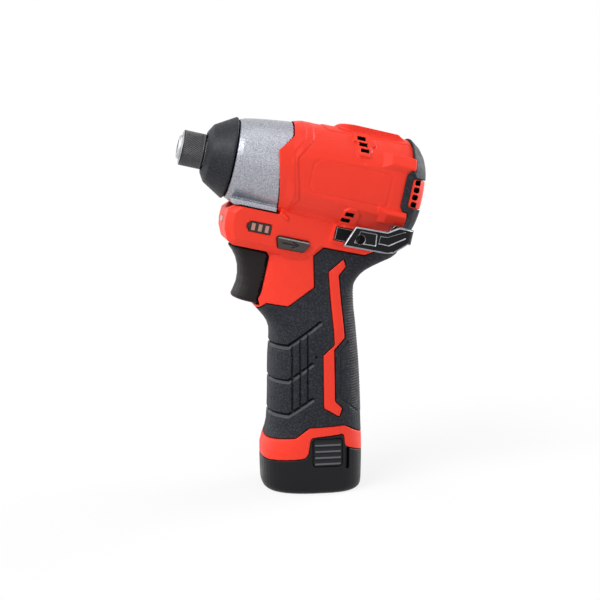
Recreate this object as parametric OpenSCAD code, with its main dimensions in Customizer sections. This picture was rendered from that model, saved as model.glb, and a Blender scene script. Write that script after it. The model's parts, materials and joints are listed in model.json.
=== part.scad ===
// Compact cordless impact driver with a pistol grip, standing on the foot of its battery.
// X runs from the nose (negative) to the back, Y across the tool, Z up. Sizes are millimetres.
// Barrel pieces are placed by station (along the barrel axis, positive to the back) and by
// rise (square to the axis, positive up). The handle is a loft of level cross-sections.

/* [Stance] */
// Nose-up angle of the barrel when the driver stands on its battery
barrel_tilt = 12.5; // [11:0.5:14]
// Height of the barrel axis over the middle of the foot
barrel_height = 159; // [158:0.5:161]

/* [Bit holder] */
// Across-flats size of the hexagonal bit socket
hex_across_flats = 6.45; // [6.35:0.05:6.6]
// Depth of the bit socket
hex_depth = 22; // [16:1:24]
// Diameter of the anvil's nose inside the release sleeve
anvil_nose_d = 12; // [11.6:0.1:12.4]
// Outer diameter of the release sleeve
sleeve_d = 17.5; // [16.5:0.25:18]
// Length of the release sleeve
sleeve_length = 11.4; // [10.5:0.1:13]
// How far the release sleeve is pushed forward to free a bit
sleeve_travel = 3; // [2:0.5:3.5]
// Diameter of the steel balls that hold the bit
detent_ball_d = 3.2; // [3:0.1:3.4]

/* [Hammer case] */
// Station where the housing's collar meets the hammer case at the top
seam_station = -14.6; // [-15:0.1:-14]
// Length of the hammer case in front of that seam
case_length = 37.9; // [37:0.1:40]
// Diameter of the case's bell at its front edge
case_front_d = 39.2; // [38.6:0.2:40]
// Diameter of the case's bell at the seam
case_back_d = 48; // [47:0.2:48.4]
// Diameter of the nose tube that carries the rubber bumper
case_nose_d = 24.4; // [23:0.2:26]
// Diameter of the rubber bumper's rim
bumper_d = 40.6; // [40.2:0.2:42]
// Width of the flat foot cast under the case
case_foot_w = 33.6; // [30:0.4:34]

/* [Impact mechanism] */
// Diameter of the anvil's journal in its bush
journal_d = 14; // [13.5:0.1:14.4]
// Outer diameter of the sintered bush
bush_d = 18; // [17:0.2:19]
// Outer diameter of the hammer
hammer_d = 34.8; // [33:0.2:35.2]
// Length of the hammer's body
hammer_length = 17.5; // [16:0.5:18]
// Height of the driving lugs on hammer and anvil
lug_height = 6; // [5:0.2:6.4]
// Radius that the lugs of hammer and anvil reach to
lug_radius = 15.6; // [14.5:0.1:15.8]
// How far the hammer springs back over the anvil's lugs
hammer_recoil = 6.2; // [6:0.1:6.4]
// Diameter of the cam spindle that the hammer rides on
spindle_d = 13; // [12:0.2:13.6]
// Diameter of the cam balls between spindle and hammer
cam_ball_d = 5.5; // [5:0.1:5.6]

/* [Planetary gears] */
// Tooth size of the gears
gear_module = 0.75; // [0.73:0.01:0.76]
// Teeth of the pinion on the motor shaft
sun_teeth = 12; // [12]
// Teeth of each planet gear
planet_teeth = 18; // [18]
// Width of the gear teeth
gear_width = 6.2; // [5:0.2:6.4]
// Diameter of the pins that carry the planets
planet_pin_d = 4; // [3.4:0.1:4.4]

/* [Motor] */
// Outer diameter of the stator
stator_d = 39; // [37:0.5:40]
// Length of the stator's laminated core
stator_length = 18; // [16:0.5:19]
// Outer diameter of the rotor
rotor_d = 19; // [17:0.2:19.6]
// Diameter of the motor shaft
shaft_d = 5; // [4.6:0.1:5.2]
// Outer diameter of the cooling fan
fan_d = 35; // [30:0.5:38]

/* [Housing] */
// Radius of the barrel shell just behind the collar
barrel_front_r = 25.4; // [25:0.1:25.8]
// Radius of the barrel shell at the back
barrel_back_r = 27.2; // [26.8:0.1:27.6]
// Half width across the flat side panels of the barrel
barrel_side = 24.2; // [24:0.1:24.6]
// Radius of the bore inside the barrel shell
barrel_bore_r = 22.6; // [22.5:0.05:22.8]
// Station of the tool's back face
back_station = 55.8; // [55.6:0.2:57]
// Half width of the receiver, the block that carries the trigger
receiver_half_w = 18.2; // [17.8:0.1:18.8]
// Wall thickness of the receiver and the handle's upper part
shell_wall = 2.4; // [2:0.1:2.8]
// Gap left along the seam between the two halves
seam_gap = 0.1; // [0.06:0.02:0.2]
// Thickness of the soft grip skin moulded on the handle
grip_skin = 1.5; // [1.2:0.1:1.8]
// Dark shadow gap round the soft grip
grip_gap = 0.3; // [0.2:0.05:0.4]
// Thickness of the rubber guard on the back of the barrel
guard_skin = 1.4; // [1.1:0.1:1.6]

/* [Controls] */
// Width of the trigger
trigger_w = 21; // [18:0.5:23]
// Travel of the trigger
trigger_travel = 6; // [4:0.5:6.5]
// How far a fully pressed end of the direction button still stands out of the receiver's side
button_proud = 0.1; // [0.1:0.1:0.5]
// Travel of the direction button to either side
button_travel = 1.5; // [1:0.1:1.6]

/* [Belt hook] */
// Thickness of the hook's sheet steel
hook_sheet = 1.8; // [1.4:0.1:2]
// Clear room for a belt between the hook's two arms
hook_room = 9; // [8:0.5:11]

/* [Battery] */
// Diameter of a battery cell
cell_d = 18; // [17.6:0.1:18.2]
// Length of a battery cell
cell_length = 65; // [60:0.5:66]
// Wall of the battery's tower round the cells
tower_wall = 0.8; // [0.7:0.05:0.9]
// Running clearance of the tower in the handle's well
tower_gap = 0.3; // [0.25:0.05:0.4]
// Travel of the battery's release buttons
release_travel = 1.5; // [1:0.1:1.8]

/* [Hidden] */
$fn = 72;
slip = 0.2;          // clearance between neighbouring pieces that only lie side by side
running = 0.05;      // radial clearance of a shaft in its bearing
far = 200;           // longer than anything that is cut

red = "#e2321f";
black = "#26282c";
brown_black = "#2b2625";
silver = "#a7aab0";
steel = "#8b8e93";
copper = "#b8703a";
board_green = "#1f5a3a";

planets = 3;
ring_teeth = sun_teeth + 2 * planet_teeth;
sun_r = gear_module * sun_teeth / 2;
planet_r = gear_module * planet_teeth / 2;
ring_r = gear_module * ring_teeth / 2;
orbit_r = sun_r + planet_r;
pressure_angle = 25;
backlash = 0.12;

// Heights of the battery's cells, its tower and the well that the tower slides into
cell_floor = 9;
tower_foot = cell_floor - 1.5;
tower_top = cell_floor + cell_length + 4.5;
well_top = tower_top + 6.5;

// Stations along the barrel, worked out from the gear stage forward and from there back
ring_front = seam_station + 9.7;
ring_back = ring_front + gear_width + 0.7;
ring_rim = 1.35;
ring_outer_r = ring_r + 1.25 * gear_module + ring_rim;
carrier_r = 15;
carrier_plate = 3;
carrier_front = ring_front - 0.5 - carrier_plate;
carrier_back = ring_back + 0.2 + 2.4;
washer_t = 0.8;
spring_seat = carrier_front - 0.2 - washer_t;
hammer_back = spring_seat - 0.6 - hammer_recoil;
hammer_front = hammer_back - hammer_length;
lug_gap = 0.5;
anvil_lug_back = hammer_front - lug_gap;
anvil_lug_front = anvil_lug_back - lug_height;
thrust_t = 0.8;
case_wall_front = anvil_lug_front - slip - thrust_t - slip;
case_front = seam_station - case_length;
sleeve_back = case_front - 2.3;
sleeve_front = sleeve_back - sleeve_length;
anvil_tip = sleeve_front - 1.6;
boss_r = 8.5;
bearing_w = 4.6;
plate_front = carrier_back + 0.4;
spindle_bearing_r = 13;
motor_bearing_r = 6.5;
motor_bearing_w = 4;
plate_web = 0.8;
motor_bearing_front = plate_front + bearing_w + slip + plate_web;
plate_back = motor_bearing_front + motor_bearing_w + slip;
coil_overhang = 3.6;
stator_front = plate_back + 0.6 + coil_overhang;
stator_back = stator_front + stator_length;
fan_front = stator_back + coil_overhang + 1.2;
fan_height = 6;
fan_back = fan_front + fan_height;
back_wall = 3;
rear_bearing_front = back_station - back_wall - motor_bearing_w - slip;

// The barrel frame, and outlines drawn in it
module barrel() translate([0, 0, barrel_height]) rotate([0, barrel_tilt, 0]) children();
module turned(points) barrel() rotate([0, 90, 0]) rotate_extrude() polygon(points);
module along(from, to) barrel() translate([from, 0, 0]) rotate([90, 0, 90]) linear_extrude(to - from) children();
module across(from, to) translate([0, to, 0]) rotate([90, 0, 0]) linear_extrude(to - from) children();
module barrel_across(from, to) barrel() across(from, to) children();
module barrel_up(from, to) barrel() translate([0, 0, from]) linear_extrude(to - from) children();
module both_sides() {
    children();
    mirror([0, 1, 0]) children();
}
module tube(r_in, r_out, from, to) turned([[r_in, from], [r_out, from], [r_out, to], [r_in, to]]);
module rod(r, from, to) tube(0, r, from, to);

// World X and Z of a point given by station and rise
function at(station, rise) = [
    station * cos(barrel_tilt) + rise * sin(barrel_tilt),
    barrel_height - station * sin(barrel_tilt) + rise * cos(barrel_tilt)
];
function arc(centre, r, from, to, steps = 8) = [
    for (i = [0:steps]) let (a = from + (to - from) * i / steps) [centre[0] + r * cos(a), centre[1] + r * sin(a)]
];
function box(x0, x1, y0, y1) = [[x0, y0], [x1, y0], [x1, y1], [x0, y1]];
function rounded(x0, x1, y0, y1, r) = concat(
    arc([x1 - r, y1 - r], r, 0, 90, 5), arc([x0 + r, y1 - r], r, 90, 180, 5),
    arc([x0 + r, y0 + r], r, 180, 270, 5), arc([x1 - r, y0 + r], r, 270, 360, 5)
);
// A sector as a wedge from the axis, wide enough to reach past radius r
function wedge(from, to, r) = [[0, 0], for (i = [0:6]) let (a = from + (to - from) * i / 6) 1.1 * r * [cos(a), sin(a)]];

// Each side of a closed outline moved in by d, for outlines listed anticlockwise
function unit(v) = v / norm(v);
function left_of(v) = [-v[1], v[0]];
function inset(outline, d) = [
    for (i = [0:len(outline) - 1]) let (
        n = len(outline),
        here = outline[i],
        into = unit(here - outline[(i + n - 1) % n]),
        out = unit(outline[(i + 1) % n] - here),
        bisector = left_of(into) + left_of(out),
        share = 1 + into * out
    ) here + bisector * d / share
];

// Straight lines between the rows of a table, eased so that slopes run on through each row
function slope(t, i, k) =
    let (a = max(i - 1, 0), b = min(i + 1, len(t) - 1)) (t[b][k] - t[a][k]) / (t[b][0] - t[a][0]);
function span(t, z, i = 0) = i >= len(t) - 2 || z < t[i + 1][0] ? i : span(t, z, i + 1);
function eased(t, z, k) =
    let (
        i = span(t, z),
        h = t[i + 1][0] - t[i][0],
        u = min(max((z - t[i][0]) / h, 0), 1)
    )
    t[i][k] * (1 + 2 * u) * pow(1 - u, 2) + t[i + 1][k] * u * u * (3 - 2 * u)
        + h * u * (1 - u) * ((1 - u) * slope(t, i, k) - u * slope(t, i + 1, k));

// Handle and battery foot: height, front X, back X, half width, squareness of the cross-section
handle_rows = [
    [0, -23.4, 23.6, 20, 2.7],
    [1.2, -24.9, 25, 21.4, 2.7],
    [4, -25.7, 25.6, 22.3, 2.7],
    [18, -26.1, 25.8, 22.7, 2.7],
    [24, -25.9, 25.8, 22.6, 2.7],
    [28, -24.3, 25.7, 22.3, 2.6],
    [34, -22.8, 25.5, 22.1, 2.5],
    [50, -22.1, 24.9, 22, 2.5],
    [66, -22, 24, 21.9, 2.5],
    [76, -21.4, 23.1, 21.7, 2.5],
    [82.5, -21.3, 22.4, 21.6, 2.6],
    [87, -23.2, 21.9, 21.1, 2.7],
    [91.5, -26.8, 21.3, 20, 2.8],
    [96, -30.5, 20.9, 18.9, 3],
    [104, -31, 21.1, 17.9, 3],
    [108, -31, 23.2, 17.8, 3],
    [111.5, -31, 27.2, 17.7, 2.9],
    [114.7, -31, 34, 17.6, 2.8],
    [117.6, -31, 41.4, 17.5, 2.7],
    [121, -31, 45.2, 17.4, 2.6],
    [128, -31, 45.5, 17.2, 2.6]
];
widest_x = 4;
ring_points = 48;
function every(from, step, to) = [for (z = [from:step:to]) z];
// Heights on the handle are drawn for 65 mm cells and the usual head, and stretch with either
drawn_foot = 34;
drawn_well = 85;
drawn_axis = 159;
function stretched(z) = z <= drawn_foot ? z
    : z <= drawn_well ? drawn_foot + (z - drawn_foot) * (well_top - drawn_foot) / (drawn_well - drawn_foot)
    : well_top + (z - drawn_well) * (barrel_height - well_top) / (drawn_axis - drawn_well);
function stretched_outline(outline) = [for (p = outline) [p[0], stretched(p[1])]];
handle_levels = concat(
    [0, 0.5, 1.2, 2.4, 4, 11], every(18, 4, 34), every(40, 7, 75), every(79, 3.2, 105), every(106, 1.9, 122), [128]
);
function power(c, e) = sign(c) * pow(abs(c), 2 / e);
function section(z, skin) = [
    for (i = [0:ring_points - 1]) let (
        a = 360 * i / ring_points,
        e = eased(handle_rows, z, 4),
        reach = cos(a) < 0 ? widest_x - eased(handle_rows, z, 1) : eased(handle_rows, z, 2) - widest_x
    ) [
        widest_x + (reach - skin) * power(cos(a), e),
        (eased(handle_rows, z, 3) - skin) * power(sin(a), e),
        stretched(z)
    ]
];
// A closed skin over rings of equal length, as triangles
module loft(rings) {
    n = len(rings[0]);
    m = len(rings);
    polyhedron(
        points = [for (ring = rings) each ring],
        faces = [
            [for (i = [0:n - 1]) i],
            for (k = [0:m - 2], i = [0:n - 1], half = [0, 1])
                let (j = (i + 1) % n, a = k * n)
                    half == 0 ? [a + i, a + n + i, a + n + j] : [a + i, a + n + j, a + j],
            [for (i = [n - 1:-1:0]) (m - 1) * n + i]
        ]
    );
}
module handle_form(skin, from, to)
    loft([
        section(from, skin),
        for (z = handle_levels) if (z > from + 0.3 && z < to - 0.3) section(z, skin),
        section(to, skin)
    ]);

// A round wire wound along the barrel axis as one unbroken tube
function wire_ring(r, wire_r, turn, station, sides = 6) = [
    for (i = [0:sides - 1]) let (a = 360 * i / sides, reach = r + wire_r * cos(a))
        [reach * cos(turn), reach * sin(turn), station + wire_r * sin(a)]
];
module coil_spring(r, wire_r, from, to, turns) {
    steps = 12 * turns;
    first = from + wire_r;
    rise = to - from - 2 * wire_r;
    echo(least_gap_between_turns = rise / turns - 2 * wire_r);
    barrel() rotate([0, 90, 0])
        loft([for (i = [0:steps]) wire_ring(r, wire_r, -360 * turns * i / steps, first + rise * i / steps)]);
}

// Involute gear teeth
function involute(r_base, r) = let (t = sqrt(max(pow(r / r_base, 2) - 1, 0))) t * 180 / PI - atan(t);
function half_tooth(teeth, r, thin) =
    let (pitch = gear_module * teeth / 2, r_base = pitch * cos(pressure_angle))
    90 / teeth - thin / 2 / pitch * 180 / PI + involute(r_base, pitch) - involute(r_base, max(r, r_base));
function gear_outline(teeth, root, tip, thin) =
    let (
        r_base = gear_module * teeth / 2 * cos(pressure_angle),
        low = max(root, r_base),
        radii = [root, for (k = [0:3]) low + (tip - low) * k / 3]
    )
    [
        for (i = [0:teeth - 1]) each concat(
            [for (k = [0:4]) let (a = 360 * i / teeth - half_tooth(teeth, radii[k], thin)) radii[k] * [cos(a), sin(a)]],
            [for (k = [4:-1:0]) let (a = 360 * i / teeth + half_tooth(teeth, radii[k], thin)) radii[k] * [cos(a), sin(a)]]
        )
    ];
module gear_blank(teeth) polygon(gear_outline(
    teeth, gear_module * (teeth / 2 - 1.25), gear_module * (teeth / 2 + 0.95), backlash));
// The space that a planet sweeps in the ring gear, cut as an outline of the same teeth made fatter
module ring_space() rotate(180 / ring_teeth) polygon(gear_outline(
    ring_teeth, gear_module * (ring_teeth / 2 - 0.95), gear_module * (ring_teeth / 2 + 1.25), -backlash));
function planet_angle(i) = 360 / planets * i;

// Bit holder
shank_r = anvil_nose_d / 2;
ridge_front = sleeve_front + 3.4 + sleeve_travel;
ridge_back = ridge_front + 2;
pocket_r = shank_r + 1.35;
ring_groove_depth = 0.45;
ring_w = 0.8;
ring_station = sleeve_front - 0.3;
detent_station = (ridge_front + ridge_back) / 2;
detent_r = shank_r - detent_ball_d / 2;

module hex_socket() barrel() translate([anvil_tip - 1, 0, 0]) rotate([0, 90, 0]) rotate([0, 0, 30])
    cylinder(r = hex_across_flats / 2 / cos(30), h = hex_depth + 1, $fn = 6);
module lugs(turn, span_angle, from, to, inner) along(from, to) for (side = [0, 180])
    intersection() {
        difference() {
            circle(lug_radius);
            circle(inner);
        }
        rotate(turn + side) polygon(wedge(-span_angle / 2, span_angle / 2, lug_radius));
    }
anvil_lug_angle = 46;
hammer_lug_angle = 52;
lug_play = 2;
pilot_r = 3.4;
pilot_depth = 5;
module anvil() color(steel) difference() {
    union() {
        turned([
            [0, anvil_tip], [shank_r - 0.8, anvil_tip], [shank_r, anvil_tip + 0.8],
            [shank_r, ring_station], [shank_r - ring_groove_depth, ring_station],
            [shank_r - ring_groove_depth, ring_station + ring_w], [shank_r, ring_station + ring_w],
            [shank_r, sleeve_back + 0.4], [journal_d / 2, sleeve_back + 0.4],
            [journal_d / 2, case_wall_front + slip], [journal_d / 2 + 1, anvil_lug_front],
            [journal_d / 2 + 1, anvil_lug_back], [0, anvil_lug_back]
        ]);
        lugs(0, anvil_lug_angle, anvil_lug_front, anvil_lug_back, journal_d / 2 + 0.5);
    }
    hex_socket();
    rod(pilot_r + running, anvil_lug_back - pilot_depth, anvil_lug_back + 1);
    barrel() translate([detent_station, 0, 0]) rotate([90, 0, 0])
        cylinder(d = detent_ball_d + 2 * running, h = far, center = true);
}
module detent_balls() color(steel) barrel() for (side = [-1, 1])
    translate([detent_station, side * detent_r, 0]) sphere(d = detent_ball_d);
module retaining_ring() color(steel)
    tube(shank_r - ring_groove_depth + running, pocket_r - 0.3, ring_station + 0.05, ring_station + ring_w - 0.05);
module sleeve_washer() color(steel)
    tube(shank_r + running, pocket_r - 0.2, ring_station + ring_w + 0.05, ring_station + ring_w + 0.75);
sleeve_spring_front = ring_station + ring_w + 0.85;
spring_wire = 0.45;
module sleeve_spring() color(steel)
    coil_spring(shank_r + 0.2 + spring_wire, spring_wire, sleeve_spring_front, ridge_front - 0.1, 3);
module bit_sleeve() color(black) {
    r = sleeve_d / 2;
    turned([
        [pocket_r, sleeve_front], [r - 0.7, sleeve_front], [r, sleeve_front + 0.7],
        [r, sleeve_back - 0.5], [r - 0.5, sleeve_back], [pocket_r, sleeve_back],
        [pocket_r, ridge_back], [shank_r + running, ridge_back], [shank_r + running, ridge_front],
        [pocket_r, ridge_front]
    ]);
}

// Hammer case with its bush and rubber bumper
case_spigot_r = barrel_bore_r - slip;
bell_front = case_front + 11.5;
bell_start = bell_front + 0.4;
bell_power = 0.65;
function bell(share) = [
    case_front_d / 2 + (case_back_d - case_front_d) / 2 * pow(share, bell_power),
    bell_start + (seam_station - bell_start) * share
];
shoulder_r = case_front_d / 2 - 1;
foot_rise = -21.3;
foot_top = foot_rise + 2.9;
chamber_r = hammer_d / 2 + 0.9;
module hammer_case() color(silver) difference() {
    union() {
        turned(concat(
            [[0, case_front], [case_nose_d / 2 - 0.6, case_front], [case_nose_d / 2, case_front + 0.6],
             [case_nose_d / 2, case_front + 6], [shoulder_r, bell_front - 1.6], [shoulder_r, bell_start]],
            [for (k = [0:10]) bell(k / 10)],
            [[case_spigot_r, seam_station], [case_spigot_r, plate_front - 0.1], [0, plate_front - 0.1]]
        ));
        barrel_across(-case_foot_w / 2, case_foot_w / 2) polygon([
            [bell_front + 2.6, foot_top], [bell_front + 4.4, foot_rise],
            [seam_station - 0.9, foot_rise], [seam_station - 0.9, foot_top]
        ]);
    }
    turned([
        [0, case_front - 1], [bush_d / 2 + 0.02, case_front - 1], [bush_d / 2 + 0.02, case_wall_front],
        [chamber_r - 1.8, case_wall_front], [chamber_r, case_wall_front + 5], [chamber_r, ring_front - 0.3],
        [ring_outer_r + 0.08, ring_front - 0.3], [ring_outer_r + 0.08, far], [0, far]
    ]);
}
module anvil_bush() color("#9a7b4f")
    tube(journal_d / 2 + running, bush_d / 2, case_front + 0.2, case_wall_front);
module thrust_washer() color(steel)
    tube(journal_d / 2 + 1.2, lug_radius - 0.6, case_wall_front + slip / 2, case_wall_front + slip / 2 + thrust_t);
bumper_front = sleeve_back + slip;
module nose_bumper() color(black) {
    hole = sleeve_d / 2 + 0.6;
    rim = bumper_d / 2;
    turned([
        [hole, bumper_front + 0.2], [hole + 1.1, bumper_front], [case_nose_d / 2 + 2.2, bumper_front + 2.4],
        [rim, bell_front - 1.4], [rim, bell_front - 0.8], [rim - 0.4, bell_front - 0.4],
        [shoulder_r + 0.15, bell_front - 0.4],
        [shoulder_r + 0.15, bell_front - 1.7], [case_nose_d / 2 + 0.15, case_front + 5.8],
        [case_nose_d / 2 + 0.15, case_front - 0.2], [hole, case_front - 0.2]
    ]);
}

// Hammer, spring, cam spindle and planet carrier
spindle_r = spindle_d / 2;
ball_orbit = spindle_r + 0.3;
cam_station = hammer_front + 8.5;
spring_pocket_depth = hammer_length - 6;
hammer_spring_r = 12;
hammer_wire = 1.05;
module hammer() color(steel) difference() {
    union() {
        turned([
            [spindle_r + 0.08, hammer_front], [hammer_d / 2 - 0.8, hammer_front], [hammer_d / 2, hammer_front + 0.8],
            [hammer_d / 2, hammer_back - 0.6], [hammer_d / 2 - 0.6, hammer_back],
            [hammer_spring_r + 2.4, hammer_back], [hammer_spring_r + 2.4, hammer_back - spring_pocket_depth],
            [hammer_spring_r - 2.4, hammer_back - spring_pocket_depth], [hammer_spring_r - 2.4, hammer_back],
            [spindle_r + 0.08, hammer_back]
        ]);
        lugs(anvil_lug_angle / 2 + hammer_lug_angle / 2 + lug_play, hammer_lug_angle,
            hammer_front - lug_height + 0.4, hammer_front + 0.4, journal_d / 2 + 1.4);
    }
    for (side = [-1, 1]) barrel() translate([hammer_front - 0.5, side * ball_orbit, 0]) rotate([0, 90, 0])
        cylinder(d = cam_ball_d + 0.2, h = cam_station + cam_ball_d / 2 + 0.1 - hammer_front + 0.5);
}
module cam_balls() color(steel) barrel() for (side = [-1, 1])
    translate([cam_station, side * ball_orbit, 0]) sphere(d = cam_ball_d);
module hammer_spring() color(steel) coil_spring(hammer_spring_r, hammer_wire,
    hammer_back - spring_pocket_depth + 0.1, spring_seat - 0.1, 5);
module spring_washer() color(steel)
    tube(spindle_r + 0.1, hammer_spring_r + 2.6, spring_seat, spring_seat + washer_t);
groove_angle = 38;
groove_length = 8;
module cam_spindle() color(steel) difference() {
    union() {
        turned([
            [0, anvil_lug_back - pilot_depth + 0.6], [pilot_r - 0.4, anvil_lug_back - pilot_depth + 0.6],
            [pilot_r, anvil_lug_back - pilot_depth + 1], [pilot_r, anvil_lug_back + 0.2],
            [spindle_r - 0.5, anvil_lug_back + 0.2], [spindle_r, anvil_lug_back + 0.7],
            [spindle_r, carrier_front], [carrier_r, carrier_front],
            [carrier_r, carrier_front + carrier_plate], [0, carrier_front + carrier_plate]
        ]);
        turned([
            [0, carrier_front + carrier_plate - 0.1], [0, carrier_back], [carrier_r, carrier_back],
            [carrier_r, ring_back + 0.2], [0, ring_back + 0.2]
        ]);
        rod(boss_r, carrier_back - 0.1, plate_front + bearing_w);
        along(carrier_front + carrier_plate - 0.1, ring_back + 0.3) for (i = [0:planets - 1])
            intersection() {
                difference() {
                    circle(carrier_r - 0.4);
                    circle(orbit_r - 1.4);
                }
                rotate(planet_angle(i) + 180 / planets) polygon(wedge(-13, 13, carrier_r));
            }
    }
    rod(sun_r + gear_module + 0.5, carrier_front + carrier_plate - 0.4, far);
    along(carrier_front + 0.8, far) for (i = [0:planets - 1]) rotate(planet_angle(i))
        translate([orbit_r, 0]) circle(d = planet_pin_d + 0.04);
    for (side = [-1, 1], lean = [-1, 1]) barrel() translate([cam_station, side * ball_orbit, 0])
        rotate([0, 90, 0]) rotate([lean * groove_angle * side, 0, 0]) cylinder(d = cam_ball_d + 0.1, h = groove_length);
    for (side = [-1, 1]) barrel() translate([cam_station, side * ball_orbit, 0]) sphere(d = cam_ball_d + 0.1);
}
module planet_pins() color(steel) along(carrier_front + 0.9, carrier_back - 0.1) for (i = [0:planets - 1])
    rotate(planet_angle(i)) translate([orbit_r, 0]) circle(d = planet_pin_d);
gear_front = ring_front + 0.2;
module planet_gear(i) color(steel) along(gear_front, gear_front + gear_width) rotate(planet_angle(i))
    translate([orbit_r, 0]) difference() {
        rotate(180 / planet_teeth) gear_blank(planet_teeth);
        circle(d = planet_pin_d + 2 * running);
    }
module ring_gear() color(steel) along(ring_front, ring_back) difference() {
    circle(ring_outer_r);
    ring_space();
}
module gearbox_plate() color(black) turned([
    [case_spigot_r, plate_front], [case_spigot_r, plate_front + 2.4], [spindle_bearing_r + 2, plate_front + 2.4],
    [spindle_bearing_r + 2, motor_bearing_front], [motor_bearing_r + 2.4, motor_bearing_front],
    [motor_bearing_r + 2.4, plate_back], [motor_bearing_r + 0.02, plate_back],
    [motor_bearing_r + 0.02, motor_bearing_front], [shaft_d / 2 + 1.2, motor_bearing_front],
    [shaft_d / 2 + 1.2, motor_bearing_front - plate_web], [spindle_bearing_r + 0.02, motor_bearing_front - plate_web],
    [spindle_bearing_r + 0.02, plate_front]
]);
// A ball bearing as its two races with the ball track between them
module bearing(r_in, r_out, from, to) {
    mid = (r_in + r_out) / 2;
    turned([
        [r_in, from], [mid - 0.5, from], [mid - 0.5, from + 0.6], [mid + 0.5, from + 0.6], [mid + 0.5, from],
        [r_out, from], [r_out, to], [mid + 0.5, to], [mid + 0.5, to - 0.6], [mid - 0.5, to - 0.6],
        [mid - 0.5, to], [r_in, to]
    ]);
}
module spindle_bearing() color(steel)
    bearing(boss_r + running, spindle_bearing_r, plate_front + 0.05, plate_front + bearing_w);
module motor_front_bearing() color(steel)
    bearing(shaft_d / 2 + running, motor_bearing_r, motor_bearing_front + 0.05, motor_bearing_front + motor_bearing_w);
module motor_rear_bearing() color(steel)
    bearing(shaft_d / 2 + running, motor_bearing_r, rear_bearing_front, rear_bearing_front + motor_bearing_w);

// Brushless motor
pole_count = 6;
pole_w = 4.6;
air_gap = 0.4;
pole_bore_r = rotor_d / 2 + air_gap;
yoke_r = stator_d / 2 - 2.6;
pinion_seat_r = shaft_d / 2 - 0.4;
module motor_shaft() color(steel) turned([
    [0, gear_front], [pinion_seat_r, gear_front], [pinion_seat_r, gear_front + gear_width + 0.1],
    [shaft_d / 2, gear_front + gear_width + 0.1], [shaft_d / 2, back_station - back_wall - 0.3],
    [0, back_station - back_wall - 0.3]
]);
module drive_pinion() color(steel) along(gear_front, gear_front + gear_width) difference() {
    gear_blank(sun_teeth);
    circle(pinion_seat_r + 0.01);
}
magnet_w = 7.6;
magnet_t = 2;
magnet_orbit = rotor_d / 2 - magnet_t - 1.2;
module magnet_places(play) for (i = [0:3]) rotate(90 * i)
    translate([magnet_orbit - play, -magnet_w / 2 - play]) square([magnet_t + 2 * play, magnet_w + 2 * play]);
module rotor_core() color(steel) along(stator_front, stator_back) difference() {
    circle(rotor_d / 2);
    circle(shaft_d / 2 + 0.01);
    magnet_places(0.05);
}
module rotor_magnets() color("#3a3b3e") along(stator_front + 0.1, stator_back - 0.1) magnet_places(0);
module stator_core() color("#6b6e73") along(stator_front, stator_back) difference() {
    union() {
        difference() {
            circle(stator_d / 2);
            circle(yoke_r);
        }
        for (i = [0:pole_count - 1]) rotate(360 / pole_count * i) {
            translate([pole_bore_r + 0.8, -pole_w / 2]) square([yoke_r - pole_bore_r, pole_w]);
            intersection() {
                circle(pole_bore_r + 1.6);
                polygon(wedge(-23, 23, pole_bore_r + 3));
            }
        }
    }
    circle(pole_bore_r);
}
coil_inner_r = pole_bore_r + 2;
coil_outer_r = yoke_r - 0.6;
coil_side = 2.6;
module stator_coils() color(copper) for (i = [0:pole_count - 1]) barrel() rotate([360 / pole_count * (i + 0.5), 0, 0])
    difference() {
        translate([stator_front - coil_overhang + 0.6, -pole_w / 2 - coil_side, coil_inner_r])
            cube([stator_length + 2 * coil_overhang - 1.2, pole_w + 2 * coil_side, coil_outer_r - coil_inner_r - 0.9]);
        translate([stator_front - 0.8, -pole_w / 2 - 0.4, 0])
            cube([stator_length + 1.6, pole_w + 0.8, far]);
    }
module stator_insulators() color("#e9e4d6") for (end = [0, 1]) {
    from = end == 0 ? stator_front - 2.2 : stator_back + 0.1;
    tube(yoke_r + 0.2, stator_d / 2 - 0.4, from, from + 2.1);
}
module sensor_board() color(board_green)
    tube(motor_bearing_r + 2.7, stator_d / 2 - 1, plate_back - 1.4, plate_back - 0.2);
blades = 11;
module cooling_fan() color(black) {
    tube(shaft_d / 2 + 0.01, 5, fan_front, fan_back);
    tube(4.9, fan_d / 2, fan_front, fan_front + 1.2);
    along(fan_front + 1.1, fan_back - 0.6) for (i = [0:blades - 1]) rotate(360 / blades * i)
        translate([8, 0]) rotate(24) square([fan_d / 2 - 8.6, 1.1]);
}

// Outlines of the housing, drawn by station and rise
collar_notch = [[seam_station - 0.3, 40], [seam_station - 0.3, 17], [seam_station - 7.2, 8.8],
    [seam_station, -21.2]];
collar_edge = [[seam_station + 3.4, -18.6], [seam_station + 5, -12], [seam_station + 0.2, 9.4],
    [seam_station + 5, 17], [seam_station + 5, 40]];
panel_edge = [[seam_station + 3.4, -18.8], [seam_station + 7.8, -12.4], [seam_station + 3, 7.2],
    [seam_station + 8.8, 16.2], [seam_station + 8.8, 19]];
receiver_front = seam_station - 24.6;
receiver_back = 42;
receiver_bottom = -40.8;
chin_rise = foot_rise - 0.25;
receiver_side = [
    [receiver_front + 3.4, chin_rise], [receiver_front + 0.3, chin_rise - 3], [receiver_front, chin_rise - 8],
    [receiver_front + 0.6, receiver_bottom + 6.8], [receiver_front + 3, receiver_bottom + 1.6],
    [receiver_front + 6, receiver_bottom], [4.2, receiver_bottom], [9.4, -32.8], [32, -32.4], [36.7, -29.6],
    [receiver_back, -25], [receiver_back, -14], [seam_station + 1, -14], [seam_station + 1, chin_rise]
];
trigger_back = -13.6;
head_room = barrel_height - well_top;
trigger_floor = 5.8 - head_room;
opening_low_r = 12;
opening_high_r = 3.4;
opening_bend = trigger_floor + 8.2;
guard_front = 44.4;
guard_notch = 2.2;
guard_low = -22.9;
window_low = -5;
window_high = 9.4;
window_front = guard_front + 1.4;

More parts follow.
